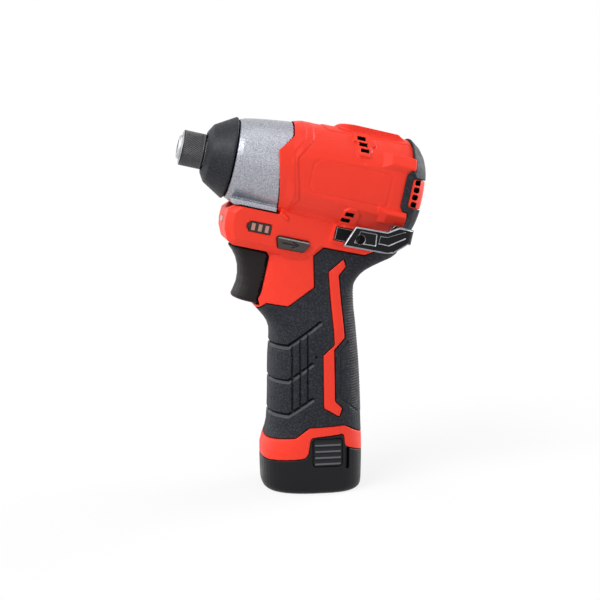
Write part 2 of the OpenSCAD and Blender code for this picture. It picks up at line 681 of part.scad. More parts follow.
// The barrel's own form, grown by a height above its skin
taper_front = seam_station + 4;
collar_chamfer = 1.1;
function share(station, from, to) = min(max((station - from) / (to - from), 0), 1);
function barrel_r(station) = barrel_front_r - collar_chamfer * (1 - share(station, seam_station, taper_front))
    + (barrel_back_r - barrel_front_r) * share(station, taper_front, guard_front);
function knots(from, to) =
    concat([from], [for (k = [seam_station, taper_front, guard_front]) if (k > from && k < to) k], [to]);
module barrel_form(extra, from, to) intersection() {
    turned(concat([[0, from]], [for (k = knots(from, to)) [barrel_r(k) + extra, k]], [[0, to]]));
    barrel_across(-barrel_side - extra, barrel_side + extra) polygon(box(from - 1, to + 1, -40, 40));
}
// The barrel from a station to its rounded back, grown by a height above its skin
module barrel_to_back(extra, from) {
    back_end = back_station + extra - guard_skin;
    rim = barrel_back_r + extra;
    intersection() {
        turned(concat(
            [[0, from]],
            [for (k = knots(from, guard_front)) [barrel_r(k) + extra, k]],
            [[rim, guard_front + 1], [rim - 3, back_end - 6], [rim - 6.2, back_end - 3.2], [rim - 9, back_end - 1.7],
             [rim - 12.2, back_end - 1], [rim - 18.6, back_end - 0.3], [0, back_end]]
        ));
        barrel_across(-barrel_side - extra, barrel_side + extra) polygon(box(from - 1, far, -far, far));
    }
}
module back_form(extra) barrel_to_back(extra, guard_front - 4);
// A raised pad on the barrel's skin with sloping edges, centred on an angle round the axis
function raised_ring(outline, z) = [for (p = outline) [p[0], p[1], z]];
module pad(angle, outline, low, high, slant) barrel() rotate([angle, 0, 0])
    loft([raised_ring(outline, low), raised_ring(inset(outline, slant), high)]);
upper_vent_angle = 47;
lower_vent_angle = 125;
vent_station = 19;
vent_slot = [4.1, 2.2];
vent_pitch = 3.8;
vent_skew = 0.95;
upper_boss = [[-3.8, -2.4], [-1.8, -6], [3.8, -6], [5.5, -2], [5.1, 1], [7.8, 2.6], [6.6, 8], [-3.4, 8]];
lower_boss = [[-4, -6], [6, -6], [6, 3], [3.4, 5.4], [-1.4, 5.4], [-4, 3]];
function shifted(outline, station) = [for (p = outline) [p[0] + station, p[1]]];
// Slots stacked round the barrel's skin, each a little further along than the one before
module vent_slots(angle, first, count, skew) barrel() rotate([angle, 0, 0]) for (i = [0:count - 1])
    translate([vent_station + skew * (i - 1), first + vent_pitch * i, barrel_bore_r - 3])
        linear_extrude(12) square(vent_slot, center = true);
rib_front = 7;
rib_back = 42.5;
rib_half_w = 7.2;
rib_top = barrel_back_r + 1.9;
module top_rib() barrel() intersection() {
    translate([0, 0, 20]) linear_extrude(rib_top - 20) {
        translate([rib_front + rib_half_w, 0]) circle(rib_half_w);
        translate([rib_front + rib_half_w, -rib_half_w]) square([rib_back - rib_front - rib_half_w, 2 * rib_half_w]);
    }
    across(-rib_half_w, rib_half_w) polygon([
        [rib_front, 20], [rib_front, barrel_front_r + 1.6], [rib_front + 3, rib_top - 0.5], [rib_front + 8, rib_top],
        [rib_back - 4.5, rib_top], [rib_back, barrel_back_r - 0.6], [rib_back, 20]
    ]);
}
upper_wedge_angle = 55.5;
lower_wedge_angle = 115.7;
upper_wedge_front = guard_front - 14.6;
lower_wedge_front = guard_front - 12.2;
wedge_run = 4;
wedge_back = guard_front + 1.8;
wedge_slant = 1.3;
// A wedge that rises out of the barrel's flank and runs in under the rubber guard
module wedge_pad(angle, from, half, high, play) barrel() rotate([angle, 0, 0]) loft([
    raised_ring(box(from - play, wedge_back, -half - play, half + play), 20),
    raised_ring(box(from - play, wedge_back, -half - play, half + play), high - 2.2),
    raised_ring(box(from + wedge_run - play, wedge_back, -half + wedge_slant - play, half - wedge_slant + play),
        high + play)
]);
module wedges(play) {
    wedge_pad(upper_wedge_angle, upper_wedge_front, 4.4, barrel_back_r + 1.7, play);
    wedge_pad(lower_wedge_angle, lower_wedge_front, 3.9, barrel_back_r + 1.5, play);
}
plate_from = seam_station + 11;
plate_to = 36;
plate_low = -7.4;
plate_high = 8.8;
// A band of the collar, which stands out on the flanks and runs out to nothing at the top
module collar_band(step, outline) both_sides() intersection() {
    translate([0, -step, 0]) barrel_form(0.12, seam_station - 8, 0);
    barrel_across(-far, 0) polygon(outline);
}
module barrel_skin() difference() {
    union() {
        barrel_to_back(0, seam_station - 8);
        collar_band(0.45, concat(collar_notch, panel_edge, [[seam_station + 8.8, far]]));
        collar_band(0.9, concat(collar_notch, collar_edge));
        intersection() {
            barrel_form(0.5, 0, guard_front);
            barrel_up(0, far) polygon([[-2, -5], [2, -11], [far, -11], [far, 11], [2, 11], [-2, 5]]);
        }
        top_rib();
        both_sides() {
            pad(upper_vent_angle, shifted(upper_boss, vent_station), 20, barrel_front_r + 2, 0.9);
            pad(lower_vent_angle, shifted(lower_boss, vent_station), 20, barrel_front_r + 1.7, 0.9);
            wedges(0);
        }
    }
    barrel_across(-far, far) polygon(concat([[-far, far]], collar_notch, [[seam_station, -far], [-far, -far]]));
    both_sides() {
        barrel() translate([0, -barrel_side + 0.3, 0]) across(-far, 0)
            difference() {
                polygon(rounded(plate_from, plate_to, plate_low, plate_high, 2.5));
                polygon(rounded(plate_from + 0.35, plate_to - 0.35, plate_low + 0.35, plate_high - 0.35, 2.2));
            }
        vent_slots(upper_vent_angle, -1.7, 3, -vent_skew);
        vent_slots(lower_vent_angle, -2.6, 2, vent_skew);
    }
}
// Air slots through the red window in the rubber guard
window_slot = [2.9, 2.6];
window_slots = 4;
window_pitch = (window_high - window_low) / window_slots;
module window_slots() both_sides() barrel_across(-far, -motor_bearing_r - 5) for (i = [0:window_slots - 1])
    translate([window_front + 2.8, window_low + window_pitch * (i + 0.5)]) square(window_slot, center = true);
// The part of the back that the rubber guard covers
module guard_region(play) {
    notch_low = -8.6;
    notch_high = 14;
    edge = guard_front + play;
    difference() {
        barrel_across(-far, far) polygon([
            [edge, far], [edge, notch_high], [edge - guard_notch, notch_high - 4],
            [edge - guard_notch, notch_low + 3.2], [edge, notch_low], [edge, guard_low],
            [far, guard_low], [far, far]
        ]);
        barrel_across(-far, far)
            polygon(rounded(window_front - play, far, window_low - play, window_high + play, 1.6));
    }
}
module rear_guard() color(black) difference() {
    intersection() {
        back_form(guard_skin);
        guard_region(0.15);
    }
    back_form(0.1);
    both_sides() wedges(0.15);
}

// The receiver, with bevelled long edges
bevel = 3;
// Soft grip: its edge against the red shell, in world X and Z, anticlockwise
band_top = [[-40, 25.4], [-10.6, 29], [-4, 34.2], [13.8, 35], [40, 20.2]];
grip_front = [[-1.5, 120.4], [-1.2, 104.7], [-14.2, 95.6], [-24.4, 97], [-30, 92.6], [-40, 74]];
grip_outline = concat(
    band_top,
    [[60, 20.2], at(66, -23), at(44.6, -23), at(36.8, -29.8), at(32, -32.6), at(11, -33),
     for (p = grip_front) [p[0], stretched(p[1])]]
);
stripe = [
    [13.7, 118.2], [6.2, 112.1], [8.7, 76], [2.9, 70.9], [3.3, 44.4], [11.1, 39.7], [12.6, 43.7],
    [8.9, 47.6], [8.4, 73.8], [13.9, 79.4], [11.3, 110.5], [15, 114.6]
];
module grip_region(play) across(-far, far) difference() {
    polygon(inset(grip_outline, play));
    polygon(inset(stretched_outline(stripe), -play));
}
split_line = concat(
    [[-60, 13.7]], arc([-8.4, 22.6], 4, -85, -8, 4), arc([-2, 27.9], 1.5, 172, 94, 3),
    arc([12.3, 29.2], 1.5, 84, 4, 3), arc([16, 25.9], 1.9, 190, 245, 3), [[60, 5.2]]
);
module below_split(gap) across(-far, far)
    polygon(concat([for (p = split_line) p - [0, gap]], [[60, -far], [-60, -far]]));

// Controls, drawn by station and rise
trigger_rise = receiver_bottom - 0.3;
plunger_rise = (trigger_floor + trigger_rise) / 2;
plunger_r = 2.6;
switch_front = -4.4;
switch_back = 11.8;
trigger_rest = trigger_back + 1;
trigger_low = trigger_floor + 0.6;
trigger_nose = 8;
// Front of the trigger by share of its height from the bottom: share, station, inset of the rounded ends
trigger_rows = [
    [0, -24.6, 1.6], [0.02, -26.4, 0.7], [0.06, -27.2, 0.1], [0.16, -26.6, 0], [0.3, -25.9, 0], [0.46, -26, 0],
    [0.62, -27, 0], [0.76, -28.7, 0], [0.88, -31.2, 0], [0.95, -33.2, 0], [0.985, -33.6, 0.2], [1, -32.6, 0.9]
];
function trigger_ring(row) = let (
    half = trigger_w / 2 - row[2],
    rise = trigger_low + (trigger_rise - trigger_low) * row[0],
    back = trigger_rest - row[2]
) concat(
    [[back, half, rise], [row[1] + trigger_nose, half, rise]],
    [for (i = [1:11]) let (a = 90 + 15 * i) [row[1] + trigger_nose * (1 + cos(a)), half * sin(a), rise]],
    [[row[1] + trigger_nose, -half, rise], [back, -half, rise]]
);
module trigger() color(brown_black) {
    barrel() loft([for (row = trigger_rows) trigger_ring(row)]);
    barrel() translate([trigger_rest - 0.5, 0, plunger_rise]) rotate([0, 90, 0])
        cylinder(r = plunger_r, h = switch_front - trigger_rest + 2.5);
}
trigger_wire = 0.35;
module trigger_spring() color(steel) barrel() translate([0, 0, plunger_rise]) rotate([0, 90, 0])
    loft([for (i = [0:36]) wire_ring(plunger_r + 0.9, trigger_wire, -30 * i,
        trigger_rest + 0.1 + trigger_wire + (switch_front - trigger_rest - 0.2 - 2 * trigger_wire) * i / 36)]);
switch_half_w = 8.5;
switch_low = 8 - head_room;
switch_high = receiver_bottom - 4.2;
module switch_body() color("#1d1e20") difference() {
    union() {
        barrel_across(-switch_half_w, switch_half_w) polygon(box(switch_front, switch_back, switch_low, switch_high));
        barrel_across(-4, 4) polygon([
            [-4, switch_high - 0.1], [5, switch_high - 0.1], [3, switch_high + 2.2], [-3, switch_high + 2.2]
        ]);
    }
    barrel() translate([switch_front - 1, 0, plunger_rise]) rotate([0, 90, 0])
        cylinder(r = plunger_r + 0.15, h = trigger_travel + 5);
}
button_outline = [[-12.8, -33], [-11.4, -37.5], [1.4, -37.3], [3.8, -32.7], [2.9, -31.9], [-12, -31.9]];
button_half = receiver_half_w + button_travel + button_proud;
module direction_button() color("#4a3f3b") {
    barrel_across(-button_half, button_half) polygon(button_outline);
    barrel_across(-1.6, 1.6) polygon(box(-5.6, -2.6, switch_high + 2.4, -37));
}
gauge_body = [[-27.4, -32.3], [-16.6, -32.3], [-16.6, -27.5], [-27.4, -27.5], [-27.4, -28.7], [-28.4, -28.7],
    [-28.4, -31.1], [-27.4, -31.1]];
gauge_skin = 0.15;
light_w = 1.8;
light_h = 3.4;
light_pitch = 3.4;
light_first = -25.4;
light_rise = -29.9;
module gauge_places(play) for (i = [0:2])
    polygon(box(light_first + light_pitch * i - light_w / 2 - play, light_first + light_pitch * i + light_w / 2 + play,
        light_rise - light_h / 2 - play, light_rise + light_h / 2 + play));
module gauge_lens() color("#3b3330") barrel_across(-receiver_half_w - gauge_skin, -receiver_half_w + 1.2) difference() {
    polygon(gauge_body);
    gauge_places(0.08);
}
module gauge_lights() color("#c8a79c")
    barrel_across(-receiver_half_w - gauge_skin - 0.1, -receiver_half_w + shell_wall) gauge_places(0);
module gauge_board() color(board_green)
    barrel_across(-receiver_half_w + shell_wall + 0.1, -receiver_half_w + shell_wall + 1.4)
        polygon(box(-28.8, -15, -34, -26.4));
light_window = [[-4, -31.4], [4, -31.4], [4, -28.4], [-4, -28.4]];
module work_light() color("#e8ecef") along(receiver_front - 0.2, receiver_front + 4) polygon(inset(light_window, 0.15));
module control_board() color(board_green)
    barrel_across(-12, 12) polygon(box(switch_back + 0.4, switch_back + 2, switch_low + 2, switch_high + 3));

// Battery well and the terminals at its top
cell_r = cell_d / 2;
cell_touch = cell_r + 0.05;
cell_play = 0.25;
cell_places = [[-8.3, 0], [-8.3 + cell_touch * sqrt(3), cell_touch], [-8.3 + cell_touch * sqrt(3), -cell_touch]];
module trefoil(r) hull() for (p = cell_places) translate(p) circle(r, $fn = 40);
well_r = cell_r + tower_wall + tower_gap;
module well() translate([0, 0, -1]) linear_extrude(well_top + 1) trefoil(well_r);
blade_places = [-9, 0, 9];
blade_x = -4;
blade_length = 7;
blade_t = 0.8;
module terminal_block() color("#1d1e20") difference() {
    translate([0, 0, tower_top + 0.8]) linear_extrude(well_top - tower_top - 1) trefoil(well_r - 0.2);
    for (y = blade_places) translate([blade_x - blade_length / 2 - 0.03, y * 0.5 - blade_t / 2 - 0.03, 0])
        cube([blade_length + 0.06, blade_t + 0.06, tower_top + 5]);
}
module terminal_blades() color("#c9b46a") for (y = blade_places)
    translate([blade_x - blade_length / 2, y * 0.5 - blade_t / 2, tower_top - 3.2]) cube([blade_length, blade_t, 8]);
module battery_base() color("#1f2023") difference() {
    intersection() {
        handle_form(0, 0, 34);
        below_split(0.4);
    }
    translate([0, 0, tower_foot]) linear_extrude(far) trefoil(cell_r + tower_wall + 0.05);
    both_sides() {
        release_pocket();
        translate([14.4, -far, 12.6]) cube([1.9, far - 17.6, 11]);
    }
}
release_low = [-2.2, 14.6];
release_size = [14.6, 13.8];
release_high = release_low + release_size;
release_outline = rounded(release_low[0], release_high[0], release_low[1], release_high[1], 1.6);
release_ribs = 4;
release_rib_pitch = (release_size[1] - 1) / release_ribs;
release_back = 20.9;
release_face = 22.2;
release_rib = 0.8;
module release_pocket() across(-far, -release_back + release_travel + 0.15) polygon(inset(release_outline, -0.25));
module left_release() color("#202125") {
    across(-release_face, -release_back) polygon(release_outline);
    for (i = [0:release_ribs - 1])
        translate([release_low[0] + 0.7, -release_face, release_low[1] + 1 + release_rib_pitch * i])
        rotate([90, 0, 90]) linear_extrude(release_size[0] - 1.4)
            polygon([[0.1, 0], [-release_rib, 0], [-release_rib, 0.5], [0.1, release_rib_pitch - 0.7]]);
}
module right_release() mirror([0, 1, 0]) left_release();
module battery_tower() color("#232428") difference() {
    translate([0, 0, tower_foot + 0.1]) linear_extrude(tower_top - tower_foot - 0.1) trefoil(cell_r + tower_wall);
    for (p = cell_places) translate([p[0], p[1], cell_floor]) cylinder(r = cell_r + cell_play, h = cell_length + 0.6);
    for (y = blade_places) translate([blade_x, y * 0.5, tower_top - 1.8])
        cube([blade_length + 1.6, 2.6, 4.2], center = true);
}
module battery_cells() color("#3f7f8f") for (p = cell_places) translate([p[0], p[1], cell_floor + 0.1]) {
    cylinder(r = cell_r, h = cell_length - 1);
    translate([0, 0, cell_length - 1.1]) cylinder(r = 3.4, h = 1.2);
}
module battery_contacts() color("#c9b46a") for (y = blade_places, side = [-1, 1])
    translate([blade_x - blade_length / 2, y * 0.5 + side * 0.9 - 0.25, tower_top - 3.8]) cube([blade_length, 0.5, 3.2]);

// Belt hook
hook_inner = receiver_half_w + 0.1;
hook_jog = barrel_side + 0.6;
hook_bend_station = 44.8;
hook_arm = hook_jog + hook_sheet + hook_room - 2;
hook_bend_r = (hook_arm - hook_jog) / 2;
hook_front = 16.4;
hook_top = (barrel_back_r + 1.5) * cos(lower_wedge_angle) - 2.6;
hook_tab = 14.9;
function stroke(path, half) =
    let (
        n = len(path),
        side = [for (i = [0:n - 1]) let (
            into = unit(path[max(i, 1)] - path[max(i, 1) - 1]),
            out = unit(path[min(i, n - 2) + 1] - path[min(i, n - 2)])
        ) (left_of(into) + left_of(out)) * half / (1 + into * out)]
    )
    concat([for (i = [0:n - 1]) path[i] + side[i]], [for (i = [n - 1:-1:0]) path[i] - side[i]]);
hook_path = concat(
    [[hook_tab, -hook_inner - hook_sheet / 2], [30.5, -hook_inner - hook_sheet / 2],
     [35.5, -hook_jog - hook_sheet / 2], [hook_bend_station - 1, -hook_jog - hook_sheet / 2]],
    arc([hook_bend_station, -hook_jog - hook_sheet / 2 - hook_bend_r], hook_bend_r, 90, -90, 12),
    [[hook_bend_station - 1, -hook_arm - hook_sheet / 2], [hook_front, -hook_arm - hook_sheet / 2]]
);
hook_end = [[41.5, hook_top], [60, hook_top], [60, -21.4], [47.5, -22.6], [41.5, -27.9]];
arm_outline = concat([[37.7, -28.8], [hook_front, -29.3], [20.5, -18.9], [36.3, -18.4]], hook_end);
tab_outline = concat([[37.7, -27.9], [hook_tab, -27.9], [hook_tab, -21.7], [36.6, -21.7]], hook_end);
hook_mid = -hook_jog - hook_sheet / 2 - hook_bend_r;
hook_screw_at = [24.2, -24.6];
hook_screw_r = 1.9;
hook_head_r = 2.7;
hook_access_r = 2.3;
module hook_screw_line(from, to, r, sides) barrel() translate([hook_screw_at[0], to, hook_screw_at[1]])
    rotate([90, 0, 0]) cylinder(r = r, h = to - from, $fn = sides);
module belt_hook() color("#2a2b2f") difference() {
    intersection() {
        barrel_up(-60, 0) polygon(stroke(hook_path, hook_sheet / 2));
        union() {
            barrel_across(-far, hook_mid) polygon(arm_outline);
            barrel_across(hook_mid, 0) polygon(tab_outline);
        }
    }
    hook_screw_line(-far, 0, hook_screw_r + 0.15, 72);
    hook_screw_line(-far, hook_mid, hook_access_r, 72);
    barrel_across(-far, -hook_arm - hook_sheet + 0.5) {
        polygon([[21.2, -26.6], [32.2, -26.2], [31.5, -20.5], [23.4, -20.6]]);
        polygon([[33.3, -24.8], [38.5, -24.8], [46, -19.6], [45, -16.6], [36.9, -20.8], [33.3, -21]]);
    }
}
module hook_screw() color(steel) {
    difference() {
        hook_screw_line(-hook_inner - hook_sheet - 2, -hook_inner - hook_sheet - 0.02, hook_head_r, 72);
        hook_screw_line(-far, -hook_inner - hook_sheet - 0.9, 1.3, 6);
    }
    hook_screw_line(-hook_inner - hook_sheet - 0.1, -hook_inner + 7, hook_screw_r, 72);
}
module hook_nut() color(steel) difference() {
    hook_screw_line(-hook_inner + 3.2, -hook_inner + 6.2, 4, 6);
    hook_screw_line(-far, 0, hook_screw_r + 0.04, 72);
}

// Housing screws, by station, rise and the depth of the head's top face
screw_places = [
    [-32.5, -34, 16.6], at_handle([15, 100], 10.5), [40.5, -33.4, 11], [9.5, -29.4, 16.6],
    at_handle([-22, 24], 7.5), at_handle([21.8, 26], 7.5)
];
function at_handle(p, depth) = let (z = stretched(p[1]) - barrel_height) [
    p[0] * cos(barrel_tilt) - z * sin(barrel_tilt), p[0] * sin(barrel_tilt) + z * cos(barrel_tilt), depth
];
screw_head_r = 2.7;
screw_head_h = 1.8;
screw_shank_r = 1.3;
screw_length = 14;
module screw_line(p, from, to, r) barrel() translate([p[0], to, p[1]]) rotate([90, 0, 0])
    cylinder(r = r, h = to - from, $fn = 32);
module housing_screws() color("#3a3b3e") for (p = screw_places) {
    difference() {
        screw_line(p, p[2] - screw_head_h, p[2], screw_head_r);
        screw_line(p, p[2] - 1, p[2] + 1, 1.1);
    }
    screw_line(p, p[2] - screw_length, p[2] - screw_head_h + 0.1, screw_shank_r);
}

// The two halves of the housing
cavity_back = 38;
module cavities() {
    turned([
        [0, -far], [case_back_d / 2 + 0.25, -far], [case_back_d / 2 + 0.25, seam_station + 0.2],
        [barrel_bore_r, seam_station + 0.2], [barrel_bore_r, guard_front + 1], [barrel_bore_r - 4, fan_back + 0.6],
        [motor_bearing_r + 2.4, fan_back + 0.6], [motor_bearing_r + 2.4, rear_bearing_front],
        [motor_bearing_r + 0.02, rear_bearing_front],
        [motor_bearing_r + 0.02, back_station - back_wall], [0, back_station - back_wall]
    ]);
    barrel_across(-receiver_half_w + shell_wall, receiver_half_w - shell_wall) polygon([
        [receiver_front + 2.8, chin_rise - 4], [receiver_front + 2.8, receiver_bottom + 6],
        [receiver_front + 5, receiver_bottom + shell_wall], [12, receiver_bottom + shell_wall], [14, -31],
        [32, -30], [cavity_back, -25], [cavity_back, -12], [seam_station + 4, -12], [seam_station + 4, chin_rise - 2.4],
        [receiver_front + 5, chin_rise - 2.4]
    ]);
    barrel_across(-13.4, 13.4) polygon(box(-6, 21, switch_low - 0.4, -30));
    trigger_space();
    well();
    below_split(0);
}
// The trigger's opening through the handle, and the slot that it slides back in
module trigger_space() {
    barrel_across(-trigger_w / 2 - 0.4, trigger_w / 2 + 0.4)
        polygon(box(-30, -5, trigger_floor + 0.2, trigger_rise + 0.1));
    barrel_across(-far, far) polygon(concat(
        arc([trigger_back - opening_high_r, receiver_bottom - opening_high_r], opening_high_r, 90, 0, 5),
        arc([trigger_back - opening_low_r, opening_bend], opening_low_r, 0, -44, 6),
        [[-far, opening_bend - opening_low_r * sin(44)], [-far, receiver_bottom]]
    ));
}
module keepers() {
    for (from = [stator_front + 2, stator_back - 4]) tube(stator_d / 2 + 0.06, barrel_bore_r + 0.3, from, from + 2);
    for (p = [screw_places[0], screw_places[3]])
        screw_line(p, -receiver_half_w + shell_wall - 0.2, receiver_half_w - shell_wall + 0.2, 3.2);
    both_sides() {
        for (from = [switch_front + 2, switch_back - 4])
            barrel_across(-13.6, -switch_half_w - 0.15) polygon(box(from, from + 2, switch_low + 2, switch_high - 2));
        hook_screw_line(-receiver_half_w + 0.5, -hook_inner + 6.3, 5.6, 72);
    }
}
hook_frame_h = 1.7;
hook_frame = [[hook_tab - 1.8, -29.4], [30, -29.4], [30, -20.2], [hook_tab - 0.8, -20.2]];
// The room behind the barrel that the rubber guard fills, down to the handle
module behind_barrel()
    barrel_across(-far, far) polygon(box(guard_front - guard_notch, far, guard_low - 0.15, far));
module body_form() {
    barrel_skin();
    difference() {
        intersection() {
            receiver_block();
            barrel_across(-far, far) polygon(receiver_side);
        }
        barrel_across(-far, far) polygon(box(-far, seam_station + 1, chin_rise, 0));
    }
    intersection() {
        back_form(guard_skin - 0.3);
        barrel_across(-far, far) polygon(rounded(window_front + 0.15, far, window_low + 0.15, window_high - 0.15, 1.5));
    }
    difference() {
        handle_form(grip_skin, 10, 127);
        behind_barrel();
    }
    difference() {
        handle_form(0, 10, 127);
        grip_region(0);
        behind_barrel();
    }
    both_sides() barrel_across(-receiver_half_w - hook_frame_h, -receiver_half_w + 0.5) difference() {
        polygon(hook_frame);
        polygon([[hook_tab - 0.4, -28.3], [far, -28.3], [far, -21.3], [hook_tab - 0.4, -21.3]]);
    }
}
module whole_housing() difference() {
    union() {
        difference() {
            body_form();
            cavities();
        }
        keepers();
    }
    barrel_across(-far, far) polygon(inset(button_outline, -0.25));
    window_slots();
    along(receiver_front - 2, receiver_front + 6) polygon(light_window);
    for (p = screw_places) {
        screw_line(p, p[2] - screw_head_h - 0.05, far, screw_head_r + 0.2);
        screw_line(p, p[2] - screw_length - 0.5, p[2], screw_shank_r + 0.05);
    }
    both_sides() {
        hook_screw_line(-far, -hook_inner + 8, hook_screw_r + 0.15, 72);
        hook_screw_line(-hook_inner + 3.1, -hook_inner + 6.5, 4.1, 6);
    }
    rod(motor_bearing_r + 0.02, rear_bearing_front - 1, back_station - back_wall);
}
module left_half() translate([-far, -2 * far - seam_gap / 2, -far]) cube(2 * far);
module right_half() translate([-far, seam_gap / 2, -far]) cube(2 * far);
module left_housing() color(red) difference() {
    intersection() {
        whole_housing();
        left_half();
    }
    barrel_across(-far, -receiver_half_w + shell_wall + 0.1) polygon(inset(gauge_body, -0.15));
}
module right_housing() color(red) intersection() {
    whole_housing();
    right_half();
}
module grip_skin_form() difference() {
    intersection() {
        difference() {
            handle_form(0, 18, 127);
            handle_form(grip_skin - 0.12, 14, 130);
        }
        grip_region(grip_gap);
    }
    back_form(0.2);
    barrel_form(0.2, seam_station, guard_front);
    below_split(0);
    trigger_space();
    for (p = screw_places) screw_line(p, p[2] - screw_head_h - 0.05, far, screw_head_r + 0.2);
}
module left_grip() color(black) intersection() {
    grip_skin_form();
    left_half();
}
module right_grip() color(black) intersection() {
    grip_skin_form();
    right_half();
}
receiver_convex = [
    [receiver_front + 3.4, chin_rise], [receiver_front + 0.3, chin_rise - 3], [receiver_front, chin_rise - 8],
    [receiver_front + 0.6, receiver_bottom + 6.8], [receiver_front + 3, receiver_bottom + 1.6],
    [receiver_front + 6, receiver_bottom], [receiver_back + 8, receiver_bottom], [receiver_back + 8, -12]
];
receiver_face = [
    [receiver_front + 7, chin_rise], [receiver_front + 4, chin_rise - 3.4], [receiver_front + 3.8, chin_rise - 8],
    [receiver_front + 4.4, receiver_bottom + 8], [receiver_front + 6.6, receiver_bottom + bevel + 0.4],
    [receiver_back + 8, receiver_bottom + bevel + 0.4], [receiver_back + 8, -12]
];
module receiver_block() barrel() hull() {
    across(-receiver_half_w + bevel, receiver_half_w - bevel) polygon(receiver_convex);
    across(-receiver_half_w, receiver_half_w) polygon(receiver_face);
}

left_housing();
right_housing();
left_grip();
right_grip();
rear_guard();
hammer_case();
nose_bumper();
anvil_bush();
thrust_washer();
anvil();
bit_sleeve();
sleeve_spring();
sleeve_washer();
retaining_ring();
detent_balls();
hammer();
hammer_spring();
spring_washer();
cam_spindle();
cam_balls();
planet_pins();
planet_gear(0);  // planet_gear_1
planet_gear(1);  // planet_gear_2
planet_gear(2);  // planet_gear_3
ring_gear();
gearbox_plate();
spindle_bearing();
motor_front_bearing();
motor_rear_bearing();
motor_shaft();
drive_pinion();
rotor_core();
rotor_magnets();
cooling_fan();
stator_core();
stator_coils();
stator_insulators();
sensor_board();
trigger();
trigger_spring();
switch_body();
direction_button();
gauge_lens();
gauge_lights();
gauge_board();
work_light();
control_board();
terminal_block();
terminal_blades();
belt_hook();
hook_screw();
hook_nut();
housing_screws();
battery_base();
battery_tower();
battery_cells();
battery_contacts();
left_release();
right_release();
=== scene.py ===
"""A compact cordless impact driver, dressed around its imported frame."""

import json
import math

import bmesh
import bpy
import numpy as np
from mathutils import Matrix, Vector
from mathutils.bvhtree import BVHTree


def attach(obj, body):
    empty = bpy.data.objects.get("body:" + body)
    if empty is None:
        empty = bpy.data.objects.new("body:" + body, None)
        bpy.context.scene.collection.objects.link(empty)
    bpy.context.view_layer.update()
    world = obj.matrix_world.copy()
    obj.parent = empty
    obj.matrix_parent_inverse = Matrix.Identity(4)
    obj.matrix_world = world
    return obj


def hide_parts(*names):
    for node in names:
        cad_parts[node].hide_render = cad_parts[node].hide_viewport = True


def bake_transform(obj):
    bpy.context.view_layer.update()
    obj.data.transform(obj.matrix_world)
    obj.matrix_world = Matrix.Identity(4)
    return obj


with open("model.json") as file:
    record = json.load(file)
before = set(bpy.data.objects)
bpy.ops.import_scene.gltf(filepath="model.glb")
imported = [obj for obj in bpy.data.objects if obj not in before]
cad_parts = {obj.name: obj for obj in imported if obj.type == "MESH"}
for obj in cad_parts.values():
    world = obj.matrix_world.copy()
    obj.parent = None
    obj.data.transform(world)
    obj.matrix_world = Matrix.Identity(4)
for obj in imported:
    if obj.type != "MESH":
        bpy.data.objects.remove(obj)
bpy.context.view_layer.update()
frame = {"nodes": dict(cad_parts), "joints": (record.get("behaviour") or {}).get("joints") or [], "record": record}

nodes = frame["nodes"]
joints = {joint["name"]: joint for joint in frame["joints"]}
bodies = frame["record"]["behaviour"]["bodies"]
body_of_node = {node: body for body, members in bodies.items() for node in members}
slot_of_node = {row["node"]: row["material_slot"] for row in frame["record"]["subparts"]}
scene = bpy.context.scene
MM = 0.001

# Barrel coordinates in mm: station along the spindle's axis to the back, rise square to it, side along Y
AXIS = np.array(joints["spindle_spin"]["axis"])
AXIS_POINT = np.array(joints["spindle_spin"]["pos_m"])
RISE = np.array([-AXIS[2], 0.0, AXIS[0]])


def to_barrel(points):
    """Station, rise and side in mm of points in metres."""
    off = (points - AXIS_POINT) / MM
    return off @ AXIS, off @ RISE, off[:, 1]


def from_barrel(station, rise, side):
    """The point in metres at a station, rise and side in mm."""
    return AXIS_POINT + MM * (station * AXIS + rise * RISE + side * np.array([0.0, 1.0, 0.0]))


# Camera at the photograph's angle
CAMERA_AZIMUTH = math.radians(-9.5)
CAMERA_ELEVATION = math.radians(8.5)
CAMERA_DISTANCE = 0.610
CAMERA_TARGET = Vector((-0.00528, 0.0, 0.09598))
CAMERA_LENS = 72.0
SENSOR_WIDTH = 36.0
NEAREST = 0.01
FARTHEST = 20.0


def add_camera():
    data = bpy.data.cameras.new("camera")
    data.lens = CAMERA_LENS
    data.sensor_width = SENSOR_WIDTH
    data.clip_start = NEAREST
    data.clip_end = FARTHEST
    camera = bpy.data.objects.new("camera", data)
    scene.collection.objects.link(camera)
    back = Vector((
        math.sin(CAMERA_AZIMUTH) * math.cos(CAMERA_ELEVATION),
        -math.cos(CAMERA_AZIMUTH) * math.cos(CAMERA_ELEVATION),
        math.sin(CAMERA_ELEVATION),
    ))
    camera.location = CAMERA_TARGET + back * CAMERA_DISTANCE
    camera.rotation_euler = (-back).to_track_quat("-Z", "Y").to_euler()
    scene.camera = camera


# Node helpers for materials
def new_material(name):
    material = bpy.data.materials.new(name)
    material.use_nodes = True
    tree = material.node_tree
    return material, tree, tree.nodes["Principled BSDF"]


def add_node(tree, kind, inputs=(), **settings):
    node = tree.nodes.new(kind)
    for key, value in settings.items():
        setattr(node, key, value)
    for key, value in dict(inputs).items():
        node.inputs[key].default_value = value
    return node


def place(tree):
    """The rest position in metres: every piece keeps its place in its mesh."""
    return add_node(tree, "ShaderNodeTexCoord").outputs["Object"]


def noise(tree, scale, detail=3.0, roughness=0.55):
    node = add_node(tree, "ShaderNodeTexNoise", {"Scale": scale, "Detail": detail, "Roughness": roughness})
    tree.links.new(place(tree), node.inputs["Vector"])
    return node.outputs["Fac"]


def ramp(tree, source, low, high, start=0.35, end=0.65):
    """Maps a factor to a number or colour between low and high."""
    limits = {"From Min": start, "From Max": end, "To Min": low, "To Max": high}
    node = add_node(tree, "ShaderNodeMapRange", limits)
    tree.links.new(source, node.inputs["Value"])
    return node.outputs["Result"]


